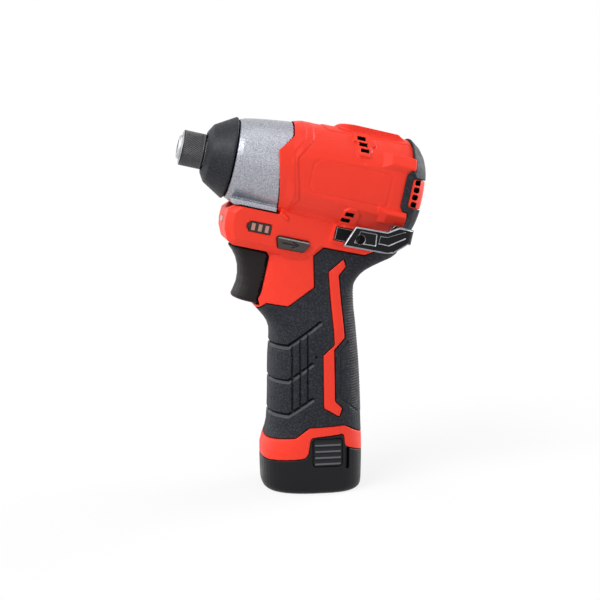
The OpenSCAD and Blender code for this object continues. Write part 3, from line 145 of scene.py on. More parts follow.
def mix_colour(tree, factor, low, high):
    node = add_node(tree, "ShaderNodeMix", data_type="RGBA")
    node.inputs["A"].default_value = (*low, 1.0)
    node.inputs["B"].default_value = (*high, 1.0)
    tree.links.new(factor, node.inputs["Factor"])
    return node.outputs["Result"]


def lay_over(tree, factor, under, colour):
    """A colour laid over a colour socket where the factor is 1."""
    node = add_node(tree, "ShaderNodeMix", data_type="RGBA")
    node.inputs["B"].default_value = (*colour, 1.0)
    tree.links.new(factor, node.inputs["Factor"])
    tree.links.new(under, node.inputs["A"])
    return node.outputs["Result"]


def add_bump(tree, shader, layers):
    """Chains bump nodes: each layer is a height socket, a strength and a depth in mm."""
    normal = None
    for height, strength, depth in layers:
        bump = add_node(tree, "ShaderNodeBump", {"Strength": strength, "Distance": depth * MM})
        tree.links.new(height, bump.inputs["Height"])
        if normal:
            tree.links.new(normal, bump.inputs["Normal"])
        normal = bump.outputs["Normal"]
    tree.links.new(normal, shader.inputs["Normal"])


def edge_factor(tree, start=0.54, end=0.64):
    """Nearly 1 on convex edges, 0 elsewhere: where a painted edge highlight is laid."""
    return ramp(tree, add_node(tree, "ShaderNodeNewGeometry").outputs["Pointiness"], 0.0, 1.0, start, end)


# Scales of the patterns, in cycles to the metre, and how far roughness swings
BLOTCH_SCALE = 90.0
DOT_SCALE = 1150.0
DOT_RANGE = (0.46, 0.68)
GLOSS_SCALE = 260.0
GLOSS_SWING = 0.06
COARSE_SHARE = 0.3
FINE_STRENGTH = 0.5
COARSE_STRENGTH = 0.3


def plastic(name, colour, lighter, roughness, grain, depth, edge=None, sheen=0.3, stipple=None):
    """Moulded plastic or rubber with spark-eroded grain, faint blotches, a painted highlight on convex edges and
    dots of stipple.
    """
    material, tree, shader = new_material(name)
    shader.inputs["Specular IOR Level"].default_value = sheen
    base = mix_colour(tree, noise(tree, BLOTCH_SCALE, detail=4.0), colour, lighter)
    # Painted highlight: a lighter colour laid on convex edges
    if edge:
        base = lay_over(tree, edge_factor(tree), base, edge)
    if stipple:
        dots = ramp(tree, noise(tree, DOT_SCALE, detail=2.0, roughness=0.7), 0.0, 1.0, *DOT_RANGE)
        base = lay_over(tree, dots, base, stipple)
    tree.links.new(base, shader.inputs["Base Color"])
    rough = ramp(tree, noise(tree, GLOSS_SCALE), roughness - GLOSS_SWING, roughness + GLOSS_SWING)
    tree.links.new(rough, shader.inputs["Roughness"])
    fine = noise(tree, grain, detail=2.0)
    coarse = noise(tree, grain * COARSE_SHARE, detail=2.0)
    add_bump(tree, shader, [(fine, FINE_STRENGTH, depth), (coarse, COARSE_STRENGTH, depth)])
    return material


# Scale of the grains, scale of the roughness and the darkest grain's share of the colour
PLAIN_METAL = (300.0, 200.0, 0.8)
SPARKLING_METAL = (1900.0, 1500.0, 0.55)
GRAIN_RANGE = (0.36, 0.64)
METAL_SWING = 0.1
METAL_STRENGTH = 0.4


def metal(name, colour, roughness, grain, depth, sparkle=0.0, metallic=1.0):
    """Metal with a fine grain, and sparkle where it is cast."""
    material, tree, shader = new_material(name)
    shader.inputs["Metallic"].default_value = metallic
    grain_scale, gloss_scale, dark_share = SPARKLING_METAL if sparkle else PLAIN_METAL
    darker = tuple(dark_share * part for part in colour)
    grains = ramp(tree, noise(tree, grain_scale, detail=1.0), 0.0, 1.0, *GRAIN_RANGE)
    tree.links.new(mix_colour(tree, grains, darker, colour), shader.inputs["Base Color"])
    swing = (METAL_SWING + sparkle) / 2
    rough = ramp(tree, noise(tree, gloss_scale), roughness - swing, roughness + swing)
    tree.links.new(rough, shader.inputs["Roughness"])
    add_bump(tree, shader, [(noise(tree, grain), METAL_STRENGTH, depth)])
    return material


# Colours, linear; each material gives colours, roughness, grain in cycles to the metre and grain depth in mm
RED = (0.80, 0.030, 0.011)
RED_LIGHT = (0.84, 0.037, 0.015)
# The edge colour is a painted highlight, laid on convex edges by pointiness
RED_EDGE_HIGHLIGHT = (0.92, 0.062, 0.032)
CHARCOAL = (0.0055, 0.0063, 0.0100)
CHARCOAL_LIGHT = (0.0095, 0.0105, 0.0150)
STIPPLE = (0.031, 0.034, 0.042)

MATERIALS = {
    "red": plastic("red_satin_plastic", RED, RED_LIGHT, 0.46, 2200.0, 0.03, RED_EDGE_HIGHLIGHT, 0.3),
    "grip": plastic("charcoal_soft_grip", CHARCOAL, CHARCOAL_LIGHT, 0.6, 900.0, 0.22, None, 0.22, STIPPLE),
    # Painted highlight for the grip's chevron slopes that look up
    "grip_highlight": plastic("grip_painted_highlight", (0.036, 0.039, 0.047), (0.052, 0.055, 0.064), 0.55, 900.0, 0.12),
    "guard": plastic("charcoal_guard", CHARCOAL, CHARCOAL_LIGHT, 0.55, 1300.0, 0.08, None, 0.22, STIPPLE),
    "bumper": plastic("nose_rubber", (0.0065, 0.0072, 0.0100), (0.010, 0.011, 0.015), 0.52, 1300.0, 0.07,
                      None, 0.25, (0.026, 0.029, 0.036)),
    "battery": plastic("battery_plastic", (0.004, 0.0044, 0.0060), (0.006, 0.0065, 0.0085), 0.40, 2400.0,
                       0.025, None, 0.2),
    # Painted highlight for the lips of the battery releases' ribs
    "battery_highlight": plastic("battery_painted_highlight", (0.075, 0.078, 0.087), (0.105, 0.109, 0.120), 0.4, 2400.0,
                            0.02),
    "trigger": plastic("trigger_plastic", (0.0075, 0.0048, 0.0052), (0.010, 0.0068, 0.007), 0.45, 2000.0,
                       0.03, None, 0.2),
    "button": plastic("button_plastic", (0.040, 0.031, 0.029), (0.054, 0.043, 0.040), 0.45, 1800.0, 0.04),
    # Painted highlight for the button's upper edge where it looks up
    "button_highlight": plastic("button_painted_highlight", (0.30, 0.29, 0.29), (0.42, 0.41, 0.41), 0.4, 1800.0, 0.02),
    "gauge": plastic("gauge_frame", (0.022, 0.014, 0.012), (0.028, 0.019, 0.016), 0.45, 2200.0, 0.02),
    "bars": plastic("gauge_bars", (0.42, 0.19, 0.15), (0.50, 0.25, 0.21), 0.4, 1500.0, 0.02),
    "light": plastic("clear_lens", (0.42, 0.20, 0.17), (0.50, 0.26, 0.22), 0.25, 1500.0, 0.01, None, 0.5),
    "black": plastic("inner_black_plastic", (0.006, 0.006, 0.0065), (0.009, 0.009, 0.0095), 0.5, 2000.0,
                     0.03),
    "shadow": plastic("joint_shadow", (0.0022, 0.0022, 0.0026), (0.003, 0.003, 0.0034), 0.8, 2000.0, 0.02,
                      None, 0.08),
    "cream": plastic("cream_plastic", (0.72, 0.68, 0.55), (0.78, 0.74, 0.62), 0.5, 2000.0, 0.02),
    "wrap": plastic("cell_wrap", (0.02, 0.12, 0.14), (0.03, 0.15, 0.17), 0.35, 900.0, 0.01),
    "alloy": metal("cast_alloy", (0.45, 0.46, 0.515), 0.38, 1900.0, 0.08, 0.2, 0.6),
    "steel": metal("ground_steel", (0.60, 0.61, 0.63), 0.30, 900.0, 0.01),
    "black_steel": metal("black_oxide_steel", (0.007, 0.007, 0.0085), 0.36, 1200.0, 0.02, 0.0, 0.2),
    # Painted highlight for the knurl's ridge tops
    "knurl_highlight": metal("knurl_ridge_highlight", (0.085, 0.085, 0.094), 0.34, 1200.0, 0.02, 0.0, 0.4),
    "screw": metal("black_screw_steel", (0.030, 0.030, 0.034), 0.32, 900.0, 0.02, 0.0, 0.7),
    "hook": plastic("black_hook_paint", (0.0030, 0.0030, 0.0036), (0.0048, 0.0048, 0.0054), 0.42, 1500.0,
                    0.05, None, 0.16),
    # Painted highlight for the hook's rounded edges
    "hook_highlight": metal("hook_painted_highlight", (0.44, 0.46, 0.50), 0.40, 900.0, 0.02, 0.0, 0.8),
    "bronze": metal("bronze", (0.60, 0.42, 0.18), 0.35, 900.0, 0.01),
    "copper": metal("copper_wire", (0.62, 0.27, 0.12), 0.32, 900.0, 0.02),
}
MATERIAL_OF_SLOT = {
    "red_plastic": "red", "soft_black": "grip", "cast_alloy": "alloy", "black_steel": "black_steel",
    "steel": "steel", "bronze": "bronze", "copper": "copper", "black_plastic": "black",
    "cream_plastic": "cream", "trigger_plastic": "trigger", "clear_lens": "light", "cell_wrap": "wrap",
}


def dress(piece, material):
    piece.data.materials.clear()
    piece.data.materials.append(MATERIALS[material])


# Mesh helpers; points closer than WELD (mm) are one
WELD = 0.002
SMOOTHING = 0.5


def apply_modifiers(piece):
    depsgraph = bpy.context.evaluated_depsgraph_get()
    mesh = bpy.data.meshes.new_from_object(piece.evaluated_get(depsgraph))
    piece.modifiers.clear()
    piece.data = mesh


def coordinates(piece):
    points = np.empty(len(piece.data.vertices) * 3)
    piece.data.vertices.foreach_get("co", points)
    return points.reshape(-1, 3)


def normals(piece):
    values = np.empty(len(piece.data.vertices) * 3, np.float32)
    piece.data.vertex_normals.foreach_get("vector", values)
    return values.reshape(-1, 3).astype(float)


def move_points(piece, points):
    piece.data.vertices.foreach_set("co", points.ravel())
    piece.data.update()


def stand_for(piece, node, material):
    """The piece takes the node's place and body, dressed in the given material."""
    dress(piece, material)
    piece.data.polygons.foreach_set("use_smooth", [True] * len(piece.data.polygons))
    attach(piece, body_of_node[node])
    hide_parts(node)


def mark_faces(piece, material, chosen):
    """Gives the chosen faces a second material."""
    if MATERIALS[material].name not in piece.data.materials:
        piece.data.materials.append(MATERIALS[material])
    slot = piece.data.materials.find(MATERIALS[material].name)
    slots = np.zeros(len(piece.data.polygons), np.int32)
    piece.data.polygons.foreach_get("material_index", slots)
    slots[chosen] = slot
    piece.data.polygons.foreach_set("material_index", slots)


def face_centres(piece):
    values = np.empty(len(piece.data.polygons) * 3, np.float32)
    piece.data.polygons.foreach_get("center", values)
    return values.reshape(-1, 3).astype(float)


def face_normals(piece):
    values = np.empty(len(piece.data.polygons) * 3, np.float32)
    piece.data.polygons.foreach_get("normal", values)
    return values.reshape(-1, 3).astype(float)


def darken_joint(piece, others, reach):
    """Faces within reach (mm) of the pieces next to it lie in the joint's shadow."""
    centres = face_centres(piece)
    chosen = np.zeros(len(centres), bool)
    for other in others:
        points = coordinates(other)
        faces = [tuple(face.vertices) for face in other.data.polygons]
        surface = BVHTree.FromPolygons(points.tolist(), faces)
        low = points.min(axis=0) - reach * MM
        high = points.max(axis=0) + reach * MM
        close = ((centres > low) & (centres < high)).all(axis=1)
        for index in np.nonzero(close)[0]:
            if surface.find_nearest(centres[index], reach * MM)[0] is not None:
                chosen[index] = True
    mark_faces(piece, "shadow", chosen)


def build_piece(name, vertices, faces):
    """A new piece from points in metres and faces, with its faces looking outward."""
    mesh = bpy.data.meshes.new(name)
    mesh.from_pydata(vertices, [], faces)
    turned = bmesh.new()
    turned.from_mesh(mesh)
    bmesh.ops.recalc_face_normals(turned, faces=turned.faces)
    turned.to_mesh(mesh)
    turned.free()
    piece = bpy.data.objects.new(name, mesh)
    scene.collection.objects.link(piece)
    return piece


def add_prism(mesh, rings):
    """A closed prism between two rings of points."""
    low, high = ([mesh.verts.new(point) for point in ring] for ring in rings)
    faces = [mesh.faces.new(low), mesh.faces.new(high)]
    for i in range(len(low)):
        j = (i + 1) % len(low)
        faces.append(mesh.faces.new((low[i], low[j], high[j], high[i])))
    bmesh.ops.recalc_face_normals(mesh, faces=faces)


def moulded(node, material, voxel, rounds, keep, shape=None, hollow=None, prisms=()):
    """A node's solid with its edges rounded off as a moulding's are, then shaped by a height in mm."""
    mesh = nodes[node].data.copy()
    piece = bpy.data.objects.new(node + "_skin", mesh)
    scene.collection.objects.link(piece)
    welded = bmesh.new()
    welded.from_mesh(mesh)
    bmesh.ops.remove_doubles(welded, verts=welded.verts, dist=WELD * MM)
    for rings in prisms:
        add_prism(welded, rings)
    welded.to_mesh(mesh)
    welded.free()
    remesh = piece.modifiers.new("remesh", "REMESH")
    remesh.mode = "VOXEL"
    remesh.voxel_size = voxel * MM
    smooth = piece.modifiers.new("smooth", "SMOOTH")
    smooth.factor = SMOOTHING
    smooth.iterations = rounds
    apply_modifiers(piece)
    if shape:
        points = coordinates(piece)
        move_points(piece, points + normals(piece) * (shape(points, normals(piece)) * MM)[:, None])
    thin = piece.modifiers.new("thin", "DECIMATE")
    thin.ratio = keep
    apply_modifiers(piece)
    stand_for(piece, node, material)
    if hollow:
        # Painted shade on the faces the hollow picks out
        mark_faces(piece, "shadow", hollow(face_centres(piece), face_normals(piece)))
    return piece


# Heights drawn on a surface, in mm
def ease(value):
    value = np.clip(value, 0.0, 1.0)
    return value * value * (3.0 - 2.0 * value)


def line_distance(x, y, line):
    """Distance of each point from a chain of straight stretches."""
    best = np.full(len(x), np.inf)
    for (x0, y0), (x1, y1) in zip(line[:-1], line[1:]):
        dx, dy = x1 - x0, y1 - y0
        t = np.clip(((x - x0) * dx + (y - y0) * dy) / (dx * dx + dy * dy), 0.0, 1.0)
        best = np.minimum(best, np.hypot(x - x0 - t * dx, y - y0 - t * dy))
    return best


def groove(distance, half_width, depth):
    return -depth * (1.0 - ease(distance / half_width))


# Housing: creases as (line, half width, depth), the bare plate, a vent's rim, a tab and the openings painted with
# shade
RECEIVER_EDGE = [(-15.6, -41.6), (-6.5, -41.3), (1.0, -40.6), (4.8, -39.3)]
PANEL_CREASES = [
    ([(-11.6, 7.0), (-5.9, 16.1)], 0.9, 0.45),
    ([(-11.6, 7.0), (-6.7, -12.5)], 0.9, 0.45),
    ([(-11.3, -18.9), (17.7, -20.3)], 1.1, 0.6),
    (RECEIVER_EDGE, 1.2, 0.45),
]
PLATE_LINE = [
    (-1.2, -7.4), (34.6, -7.4), (36.0, -6.0), (36.0, 7.4), (34.6, 8.8), (-1.2, 8.8), (-3.6, 5.6),
    (-3.6, -5.0), (-1.2, -7.4),
]
PLATE_CUT = (0.6, 0.22)
DEEPEST_CREASE = 0.6
FLANK_SIDE = 12.0
FLANK_FACING = 0.2
FLANK_R = 24.0
BORE_R = 23.0
BORE_FRONT = -12.0
BACK_WALL = 42.0
BACK_FACING = 0.2
BACK_LOOKING_OUT = 6.0
VENT_SLOT = (4.1, 2.2)
VENT_LOW = 15.0
VENT_STATION = 19.0
VENT_PITCH = 3.8
# Each vent's turn from the top in degrees, first slot's place across, count and step along the barrel
UPPER_VENT = (47.0, -1.7, 3, -0.95)
LOWER_VENT = (125.0, -2.6, 2, 0.95)
WINDOW_STATION = 48.6
WINDOW_SLOT = (2.9, 2.6)
WINDOW_LOW = -5.0
WINDOW_PITCH = 3.6
WINDOW_SLOTS = 4
WINDOW_SIDES = (12.0, 24.2)
SLOT_RIM = 0.12
UPPER_RIM = [(-4.9, 3.6), (-2.95, 3.6), (-2.95, 7.05), (3.0, 7.05), (3.0, 9.2), (-4.9, 9.2)]
UPPER_RIM_LOW = 21.0
UPPER_RIM_TOP = 27.4
TAB_LINE = [(-13.1, -20.9), (-10.2, -22.7)]
TAB_HALF = 0.95
TAB_STEPS = 8
TAB_LOW = 17.3
TAB_TOP = 19.0


def housing_height(points, facing):
    station, rise, side = to_barrel(points)
    height = np.zeros(len(station))
    for line, half_width, depth in PANEL_CREASES:
        height += groove(line_distance(station, rise, line), half_width, depth)
    height += groove(line_distance(station, rise, PLATE_LINE), *PLATE_CUT)
    flank = (np.abs(side) > FLANK_SIDE) & (np.sign(side) * facing[:, 1] > FLANK_FACING)
    flank &= np.hypot(rise, side) > FLANK_R
    return np.where(flank, np.maximum(height, -DEEPEST_CREASE), 0.0)


def upper_rim(sign):
    """A prism that closes the rim round the upper vent, as rings of points low and high."""
    turn = math.radians(UPPER_VENT[0])
    return [
        [
            from_barrel(
                VENT_STATION + along,
                out * math.cos(turn) + across * math.sin(turn),
                sign * (out * math.sin(turn) - across * math.cos(turn)),
            )
            for along, across in UPPER_RIM
        ]
        for out in (UPPER_RIM_LOW, UPPER_RIM_TOP)
    ]


def collar_tab(sign):
    """A rounded bar on the receiver's flank behind the case's foot, as rings of points low and high."""
    (s0, r0), (s1, r1) = TAB_LINE
    lean = math.atan2(r1 - r0, s1 - s0)
    outline = []
    for (station, rise), start in (((s1, r1), lean - math.pi / 2), ((s0, r0), lean + math.pi / 2)):
        for step in range(TAB_STEPS + 1):
            turn = start + math.pi * step / TAB_STEPS
            outline.append((station + TAB_HALF * math.cos(turn), rise + TAB_HALF * math.sin(turn)))
    return [
        [from_barrel(station, rise, sign * side) for station, rise in outline]
        for side in (TAB_LOW, TAB_TOP)
    ]


def in_slot(along, across, size):
    return (np.abs(along) < size[0] / 2 + SLOT_RIM) & (np.abs(across) < size[1] / 2 + SLOT_RIM)


def housing_hollow(centres, facing):
    """Faces painted with shade: the bore without the back wall's outer face, and the walls of the vents and window
    slots.
    """
    station, rise, side = to_barrel(centres)
    looking_out = facing @ RISE * rise + facing[:, 1] * side > BACK_LOOKING_OUT
    outer_back = (station > BACK_WALL) & ((facing @ AXIS > BACK_FACING) | looking_out)
    side = np.abs(side)
    dark = (np.hypot(rise, side) < BORE_R) & (station > BORE_FRONT) & ~outer_back
    for degrees, first, count, skew in (UPPER_VENT, LOWER_VENT):
        turn = math.radians(degrees)
        out = rise * math.cos(turn) + side * math.sin(turn)
        across = rise * math.sin(turn) - side * math.cos(turn)
        for i in range(count):
            along = station - VENT_STATION - skew * (i - 1)
            dark |= in_slot(along, across - first - VENT_PITCH * i, VENT_SLOT) & (out > VENT_LOW)
    for i in range(WINDOW_SLOTS):
        middle = WINDOW_LOW + WINDOW_PITCH * (i + 0.5)
        slot = in_slot(station - WINDOW_STATION, rise - middle, WINDOW_SLOT)
        dark |= slot & (side > WINDOW_SIDES[0]) & (side < WINDOW_SIDES[1])
    return dark


# Grips: chevrons, uprights, panel line, pin hole and ribs, in mm of X and Z; cuts are (half width, depth)
CHEVRONS = [
    [(-40.0, 75.1), (-14.3, 75.1), (1.3, 87.2)],
    [(-40.0, 57.6), (-14.3, 57.6), (-2.7, 66.6)],
    [(-40.0, 40.3), (-14.3, 40.3), (-2.5, 48.8)],
]
UPRIGHTS = [(-12.3, 42.6, 75.0), (-8.5, 45.4, 78.2), (-4.8, 48.2, 81.0)]
PANEL_LINE = [(15.6, 77.4), (11.8, 72.6), (11.8, 49.0), (22.0, 40.6)]
CHEVRON_CUT = (1.3, 0.95)
UPRIGHT_CUT = (0.95, 0.75)
PANEL_CUT = (0.8, 0.5)
PIN_CUT = (0.85, 1.0)
DEEPEST_GROOVE = 0.95
RIB_PITCH = 1.35
RIB_HEIGHT = 0.24
RIB_FRONT = 12.0
RIB_LOW = 38.0
RIB_HIGH = 104.0
RIB_FADE = 3.0
RIB_FACING = (0.45, 0.3)
PIN_HOLE = (-0.6, 70.4)
PIN_FLOOR = 0.35
GROOVE_FLOOR = 0.28
CHEVRON_REACH = 1.25
CHEVRON_SLOPE = 0.3
OUTER_FACING = 0.15
OUTER_FRONT = 4.0
LEVEL_FADE = 2.0


def grip_outside(x, y, facing):
    """True where the grip's skin looks outward."""
    return (np.sign(y) * facing[:, 1] > OUTER_FACING) | (x * facing[:, 0] > OUTER_FRONT)


def grip_height(points, facing):
    x, y, z = (points / MM).T
    outward = np.hypot(facing[:, 0], facing[:, 1])
    height = np.zeros(len(x))
    for line in CHEVRONS:
        height += groove(line_distance(x, z, line), *CHEVRON_CUT)
    for place_x, low, high in UPRIGHTS:
        height += groove(line_distance(x, z, [(place_x, low), (place_x, high)]), *UPRIGHT_CUT)
    height += groove(line_distance(x, z, PANEL_LINE), *PANEL_CUT)
    height += groove(np.hypot(x - PIN_HOLE[0], z - PIN_HOLE[1]), *PIN_CUT)
    back = ease((facing[:, 0] - RIB_FACING[0]) / RIB_FACING[1]) * (x > RIB_FRONT)
    back = back * ease((z - RIB_LOW) / RIB_FADE) * ease((RIB_HIGH - z) / RIB_FADE)
    height += back * RIB_HEIGHT * np.cos(2.0 * math.pi * z / RIB_PITCH)
    cut = np.where(grip_outside(x, y, facing), np.maximum(height, -DEEPEST_GROOVE), 0.0)
    return cut * ease(outward * LEVEL_FADE)


def mark_grip(piece):
    """Painted highlight on the chevrons' slopes that look up; painted shade on the slopes that look down, in the
    uprights and in the pin hole.
    """
    x, y, z = (face_centres(piece) / MM).T
    facing = face_normals(piece)
    outside = grip_outside(x, y, facing)
    nearest = np.hypot(x - PIN_HOLE[0], z - PIN_HOLE[1]) - PIN_FLOOR
    for place_x, low, high in UPRIGHTS:
        nearest = np.minimum(nearest, line_distance(x, z, [(place_x, low), (place_x, high)]))
    chevron = np.min([line_distance(x, z, line) for line in CHEVRONS], axis=0) < CHEVRON_REACH
    # Painted highlight on the chevron slopes that look up
    mark_faces(piece, "grip_highlight", outside & chevron & (facing[:, 2] > CHEVRON_SLOPE))
    # Painted shade on the chevron slopes that look down, in the uprights and in the pin hole
    under = chevron & (facing[:, 2] < -CHEVRON_SLOPE)
    mark_faces(piece, "shadow", outside & ((nearest < GROOVE_FLOOR) | under))


# Battery releases
RIB_LIP = 0.15


def mark_release(piece):
    """The outermost lips of the finger ribs are painted with a highlight."""
    outward = np.abs(face_centres(piece)[:, 1]) / MM
    # Painted highlight on the ribs' outermost lips
    mark_faces(piece, "battery_highlight", outward > outward.max() - RIB_LIP)


# Direction button: an arrow cut into each end
ARROW_SHAFT = [(-9.6, -34.7), (-1.6, -34.7)]
ARROW_HEAD = [(-4.6, -33.3), (-1.6, -34.7), (-4.6, -36.1)]
ARROW_CUT = (0.65, 0.5)
ARROW_FLOOR = 0.33
BUTTON_EDGE = 0.75
BUTTON_CHAMFER = 0.5
BUTTON_END = 0.8
# Faces of the button's upper edge that look up, which get a painted highlight
HIGHLIGHT_RISE = 0.3
HIGHLIGHT_FLAT = (0.25, 0.93)
ARROW_FACING = 0.4


def arrow_distance(station, rise):
    return np.minimum(line_distance(station, rise, ARROW_SHAFT), line_distance(station, rise, ARROW_HEAD))


def button_height(points, facing):
    station, rise, _ = to_barrel(points)
    chamfer = -BUTTON_CHAMFER * np.clip(1.0 - (rise.max() - rise) / BUTTON_EDGE, 0.0, 1.0)
    height = groove(arrow_distance(station, rise), *ARROW_CUT) + chamfer
    return height * (np.abs(facing[:, 1]) > BUTTON_END)


def mark_button(piece):
    """The arrow's floor is painted with shade and the button's upper edge with a highlight."""
    station, rise, _ = to_barrel(face_centres(piece))
    facing = face_normals(piece)
    flat = np.abs(facing[:, 1])
    # Painted highlight on the upper edge's faces that look up
    edge = (facing @ RISE > HIGHLIGHT_RISE) & (flat > HIGHLIGHT_FLAT[0]) & (flat < HIGHLIGHT_FLAT[1])
    mark_faces(piece, "button_highlight", edge & (rise > rise.max() - BUTTON_EDGE))
    # Painted shade on the arrow's floor, in the inner black plastic
    mark_faces(piece, "black", (arrow_distance(station, rise) < ARROW_FLOOR) & (flat > ARROW_FACING))


# Belt hook: a pressed strip whose arm runs along the barrel
HOOK_BEND = 43.0
HOOK_CHAMFER = 0.45
HOOK_EDGE = 0.65
HOOK_SIDE = -30.0
HOOK_FACING = 0.6
HOOK_FLAT = (0.22, 0.94)
HOOK_RISE = 0.3
HOOK_ARM = [
    (37.7, -28.8), (16.4, -29.3), (20.5, -18.9), (36.3, -18.4), (41.5, -15.1), (50.0, -15.1), (50.0, -22.4),
    (47.5, -22.6), (41.5, -27.9), (37.7, -28.8),
]


def hook_height(points, facing):
    """A chamfer round the edge of the arm's outer face."""
    station, rise, side = to_barrel(points)
    nearness = np.clip(1.0 - line_distance(station, rise, HOOK_ARM) / HOOK_EDGE, 0.0, 1.0)
    return np.where((side < HOOK_SIDE) & (facing[:, 1] < -HOOK_FACING), -HOOK_CHAMFER * nearness, 0.0)


def mark_hook(piece):
    """Rounded edges of the pressed sheet are painted with a bright highlight, the flats stay black."""
    station, _, _ = to_barrel(face_centres(piece))
    facing = face_normals(piece)
    flat = np.abs(facing[:, 1])
    rounded = (flat > HOOK_FLAT[0]) & (flat < HOOK_FLAT[1])
    along_arm = (np.abs(facing @ RISE) > HOOK_RISE) | (station < HOOK_BEND)
    # Painted highlight on the rounded edges
    mark_faces(piece, "hook_highlight", rounded & along_arm)


# Release sleeve: a lathe form with a diamond knurl
KNURL_STARTS = 48
KNURL_DEPTH = 0.42
KNURL_LEAD = 0.115
KNURL_SHARE = 0.45
KNURL_POWER = 0.6
KNURL_MARGIN = 0.9
KNURL_FADE = 0.5
SLEEVE_COLUMNS = 672
SLEEVE_STEP = 0.15
LIP = 0.6
RIDGE_HEIGHT = 0.15
BARE_FRONT = 0.35
BARE_RIM = 0.2
MOUTH = 0.5
OUTSIDE = 0.05
# Roundings of the sleeve's ends, in mm: how far from the bore or the outside, and how far from the end
BORE_MOUTH = [(0.0, 1.2), (0.5, 0.4)]
FRONT_LIP = [(0.9, 0.0), (0.35, 0.15), (0.0, LIP)]
BACK_LIP = [(0.0, 0.5), (0.4, 0.0)]


def sleeve_profile(front, back, outer, inner):
    """Radius and station up the bore, across the front lip, along the outside and back in."""
    rows = range(1, int((back - front - 2 * LIP) / SLEEVE_STEP))
    bore = [(inner, back)] + [(inner + off, front + along) for off, along in BORE_MOUTH]
    lip = [(outer - off, front + along) for off, along in FRONT_LIP]
    outside = [(outer, front + LIP + step * SLEEVE_STEP) for step in rows]
    return bore + lip + outside + [(outer - off, back - along) for off, along in BACK_LIP] + [(inner, back)]


def add_sleeve():
    station, rise, side = to_barrel(coordinates(nodes["bit_sleeve"]))
    front, back = station.min(), station.max()
    radius = np.hypot(rise, side)
    outer = radius.max()
    inner = radius[station < front + MOUTH].min()
    profile = sleeve_profile(front, back, outer, inner)
    angles = np.arange(SLEEVE_COLUMNS) * 2.0 * math.pi / SLEEVE_COLUMNS
    rows = []
    for r, s in profile:
        fade = ease((s - front - KNURL_MARGIN) / KNURL_FADE) * ease((back - KNURL_MARGIN - s) / KNURL_FADE)
        knurled = fade * (r > outer - OUTSIDE)
        one = np.abs(np.sin(KNURL_STARTS / 2 * (angles + KNURL_LEAD * s)))
        two = np.abs(np.sin(KNURL_STARTS / 2 * (angles - KNURL_LEAD * s)))
        ridge = np.minimum(one, KNURL_SHARE + (1.0 - KNURL_SHARE) * two) ** KNURL_POWER
        radii = r - KNURL_DEPTH * knurled * (1.0 - ridge)
        rows.append([from_barrel(s, d * math.sin(a), d * math.cos(a)) for a, d in zip(angles, radii)])
    vertices = [tuple(point) for row in rows[:-1] for point in row]
    count = len(rows) - 1
    faces = []
    for i in range(count):
        low, high = i * SLEEVE_COLUMNS, (i + 1) % count * SLEEVE_COLUMNS
        for k in range(SLEEVE_COLUMNS):
            n = (k + 1) % SLEEVE_COLUMNS
            faces.append((low + k, low + n, high + n, high + k))
    piece = build_piece("bit_sleeve_knurled", vertices, faces)
    stand_for(piece, "bit_sleeve", "black_steel")
    station, rise, side = to_barrel(face_centres(piece))
    radius = np.hypot(rise, side)
    knurled = (station > front + KNURL_MARGIN) & (station < back - KNURL_MARGIN)
    # Painted highlight on the knurl's ridge tops
    mark_faces(piece, "knurl_highlight", knurled & (radius > outer - RIDGE_HEIGHT))
    mark_faces(piece, "steel", (station < front + BARE_FRONT) & (radius < outer - BARE_RIM))


# Springs: steel copies of the coils between the two pieces they push apart
def add_spring(node):
    """A steel copy of the coil in place of the hidden node."""
    mesh = nodes[node].data.copy()
    piece = bpy.data.objects.new(node + "_coil", mesh)
    scene.collection.objects.link(piece)
    station, rise, side = to_barrel(coordinates(piece))
    dress(piece, "steel")
    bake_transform(piece)
    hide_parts(node)


# Screws: round heads with a six-lobed recess
SCREW_COLUMNS = 72
LOBE_R = 1.12
LOBE_SWING = 0.24
RECESS_DEPTH = 1.1
TIP_R = 0.01
TIP_DEPTH = 0.15
SHANK_END = 0.5
HEAD_RIM = 0.2
LOBES = 6.0
SHARP_CORNER = 50.0
# Roundings of the head and the recess, in mm: how far in from the edge, and how deep
HEAD_ROUND = [(0.0, 0.4), (0.15, 0.15), (0.45, 0.03), (0.7, 0.0)]
RECESS_ROUND = [(0.0, 0.0), (0.08, 0.12), (0.14, RECESS_DEPTH)]


def islands(node):
    """The separate solids of a node, each as an array of points in metres."""
    mesh = bmesh.new()
    mesh.from_mesh(nodes[node].data)
    bmesh.ops.remove_doubles(mesh, verts=mesh.verts, dist=WELD * MM)
    left = set(mesh.verts)
    found = []
    while left:
        start = left.pop()
        group, edge = [start], [start]
        while edge:
            near = [link.other_vert(vert) for vert in edge for link in vert.link_edges]
            edge = [vert for vert in dict.fromkeys(near) if vert in left]
            left.difference_update(edge)
            group.extend(edge)
        found.append(np.array([vert.co for vert in group]))
    mesh.free()
    return found


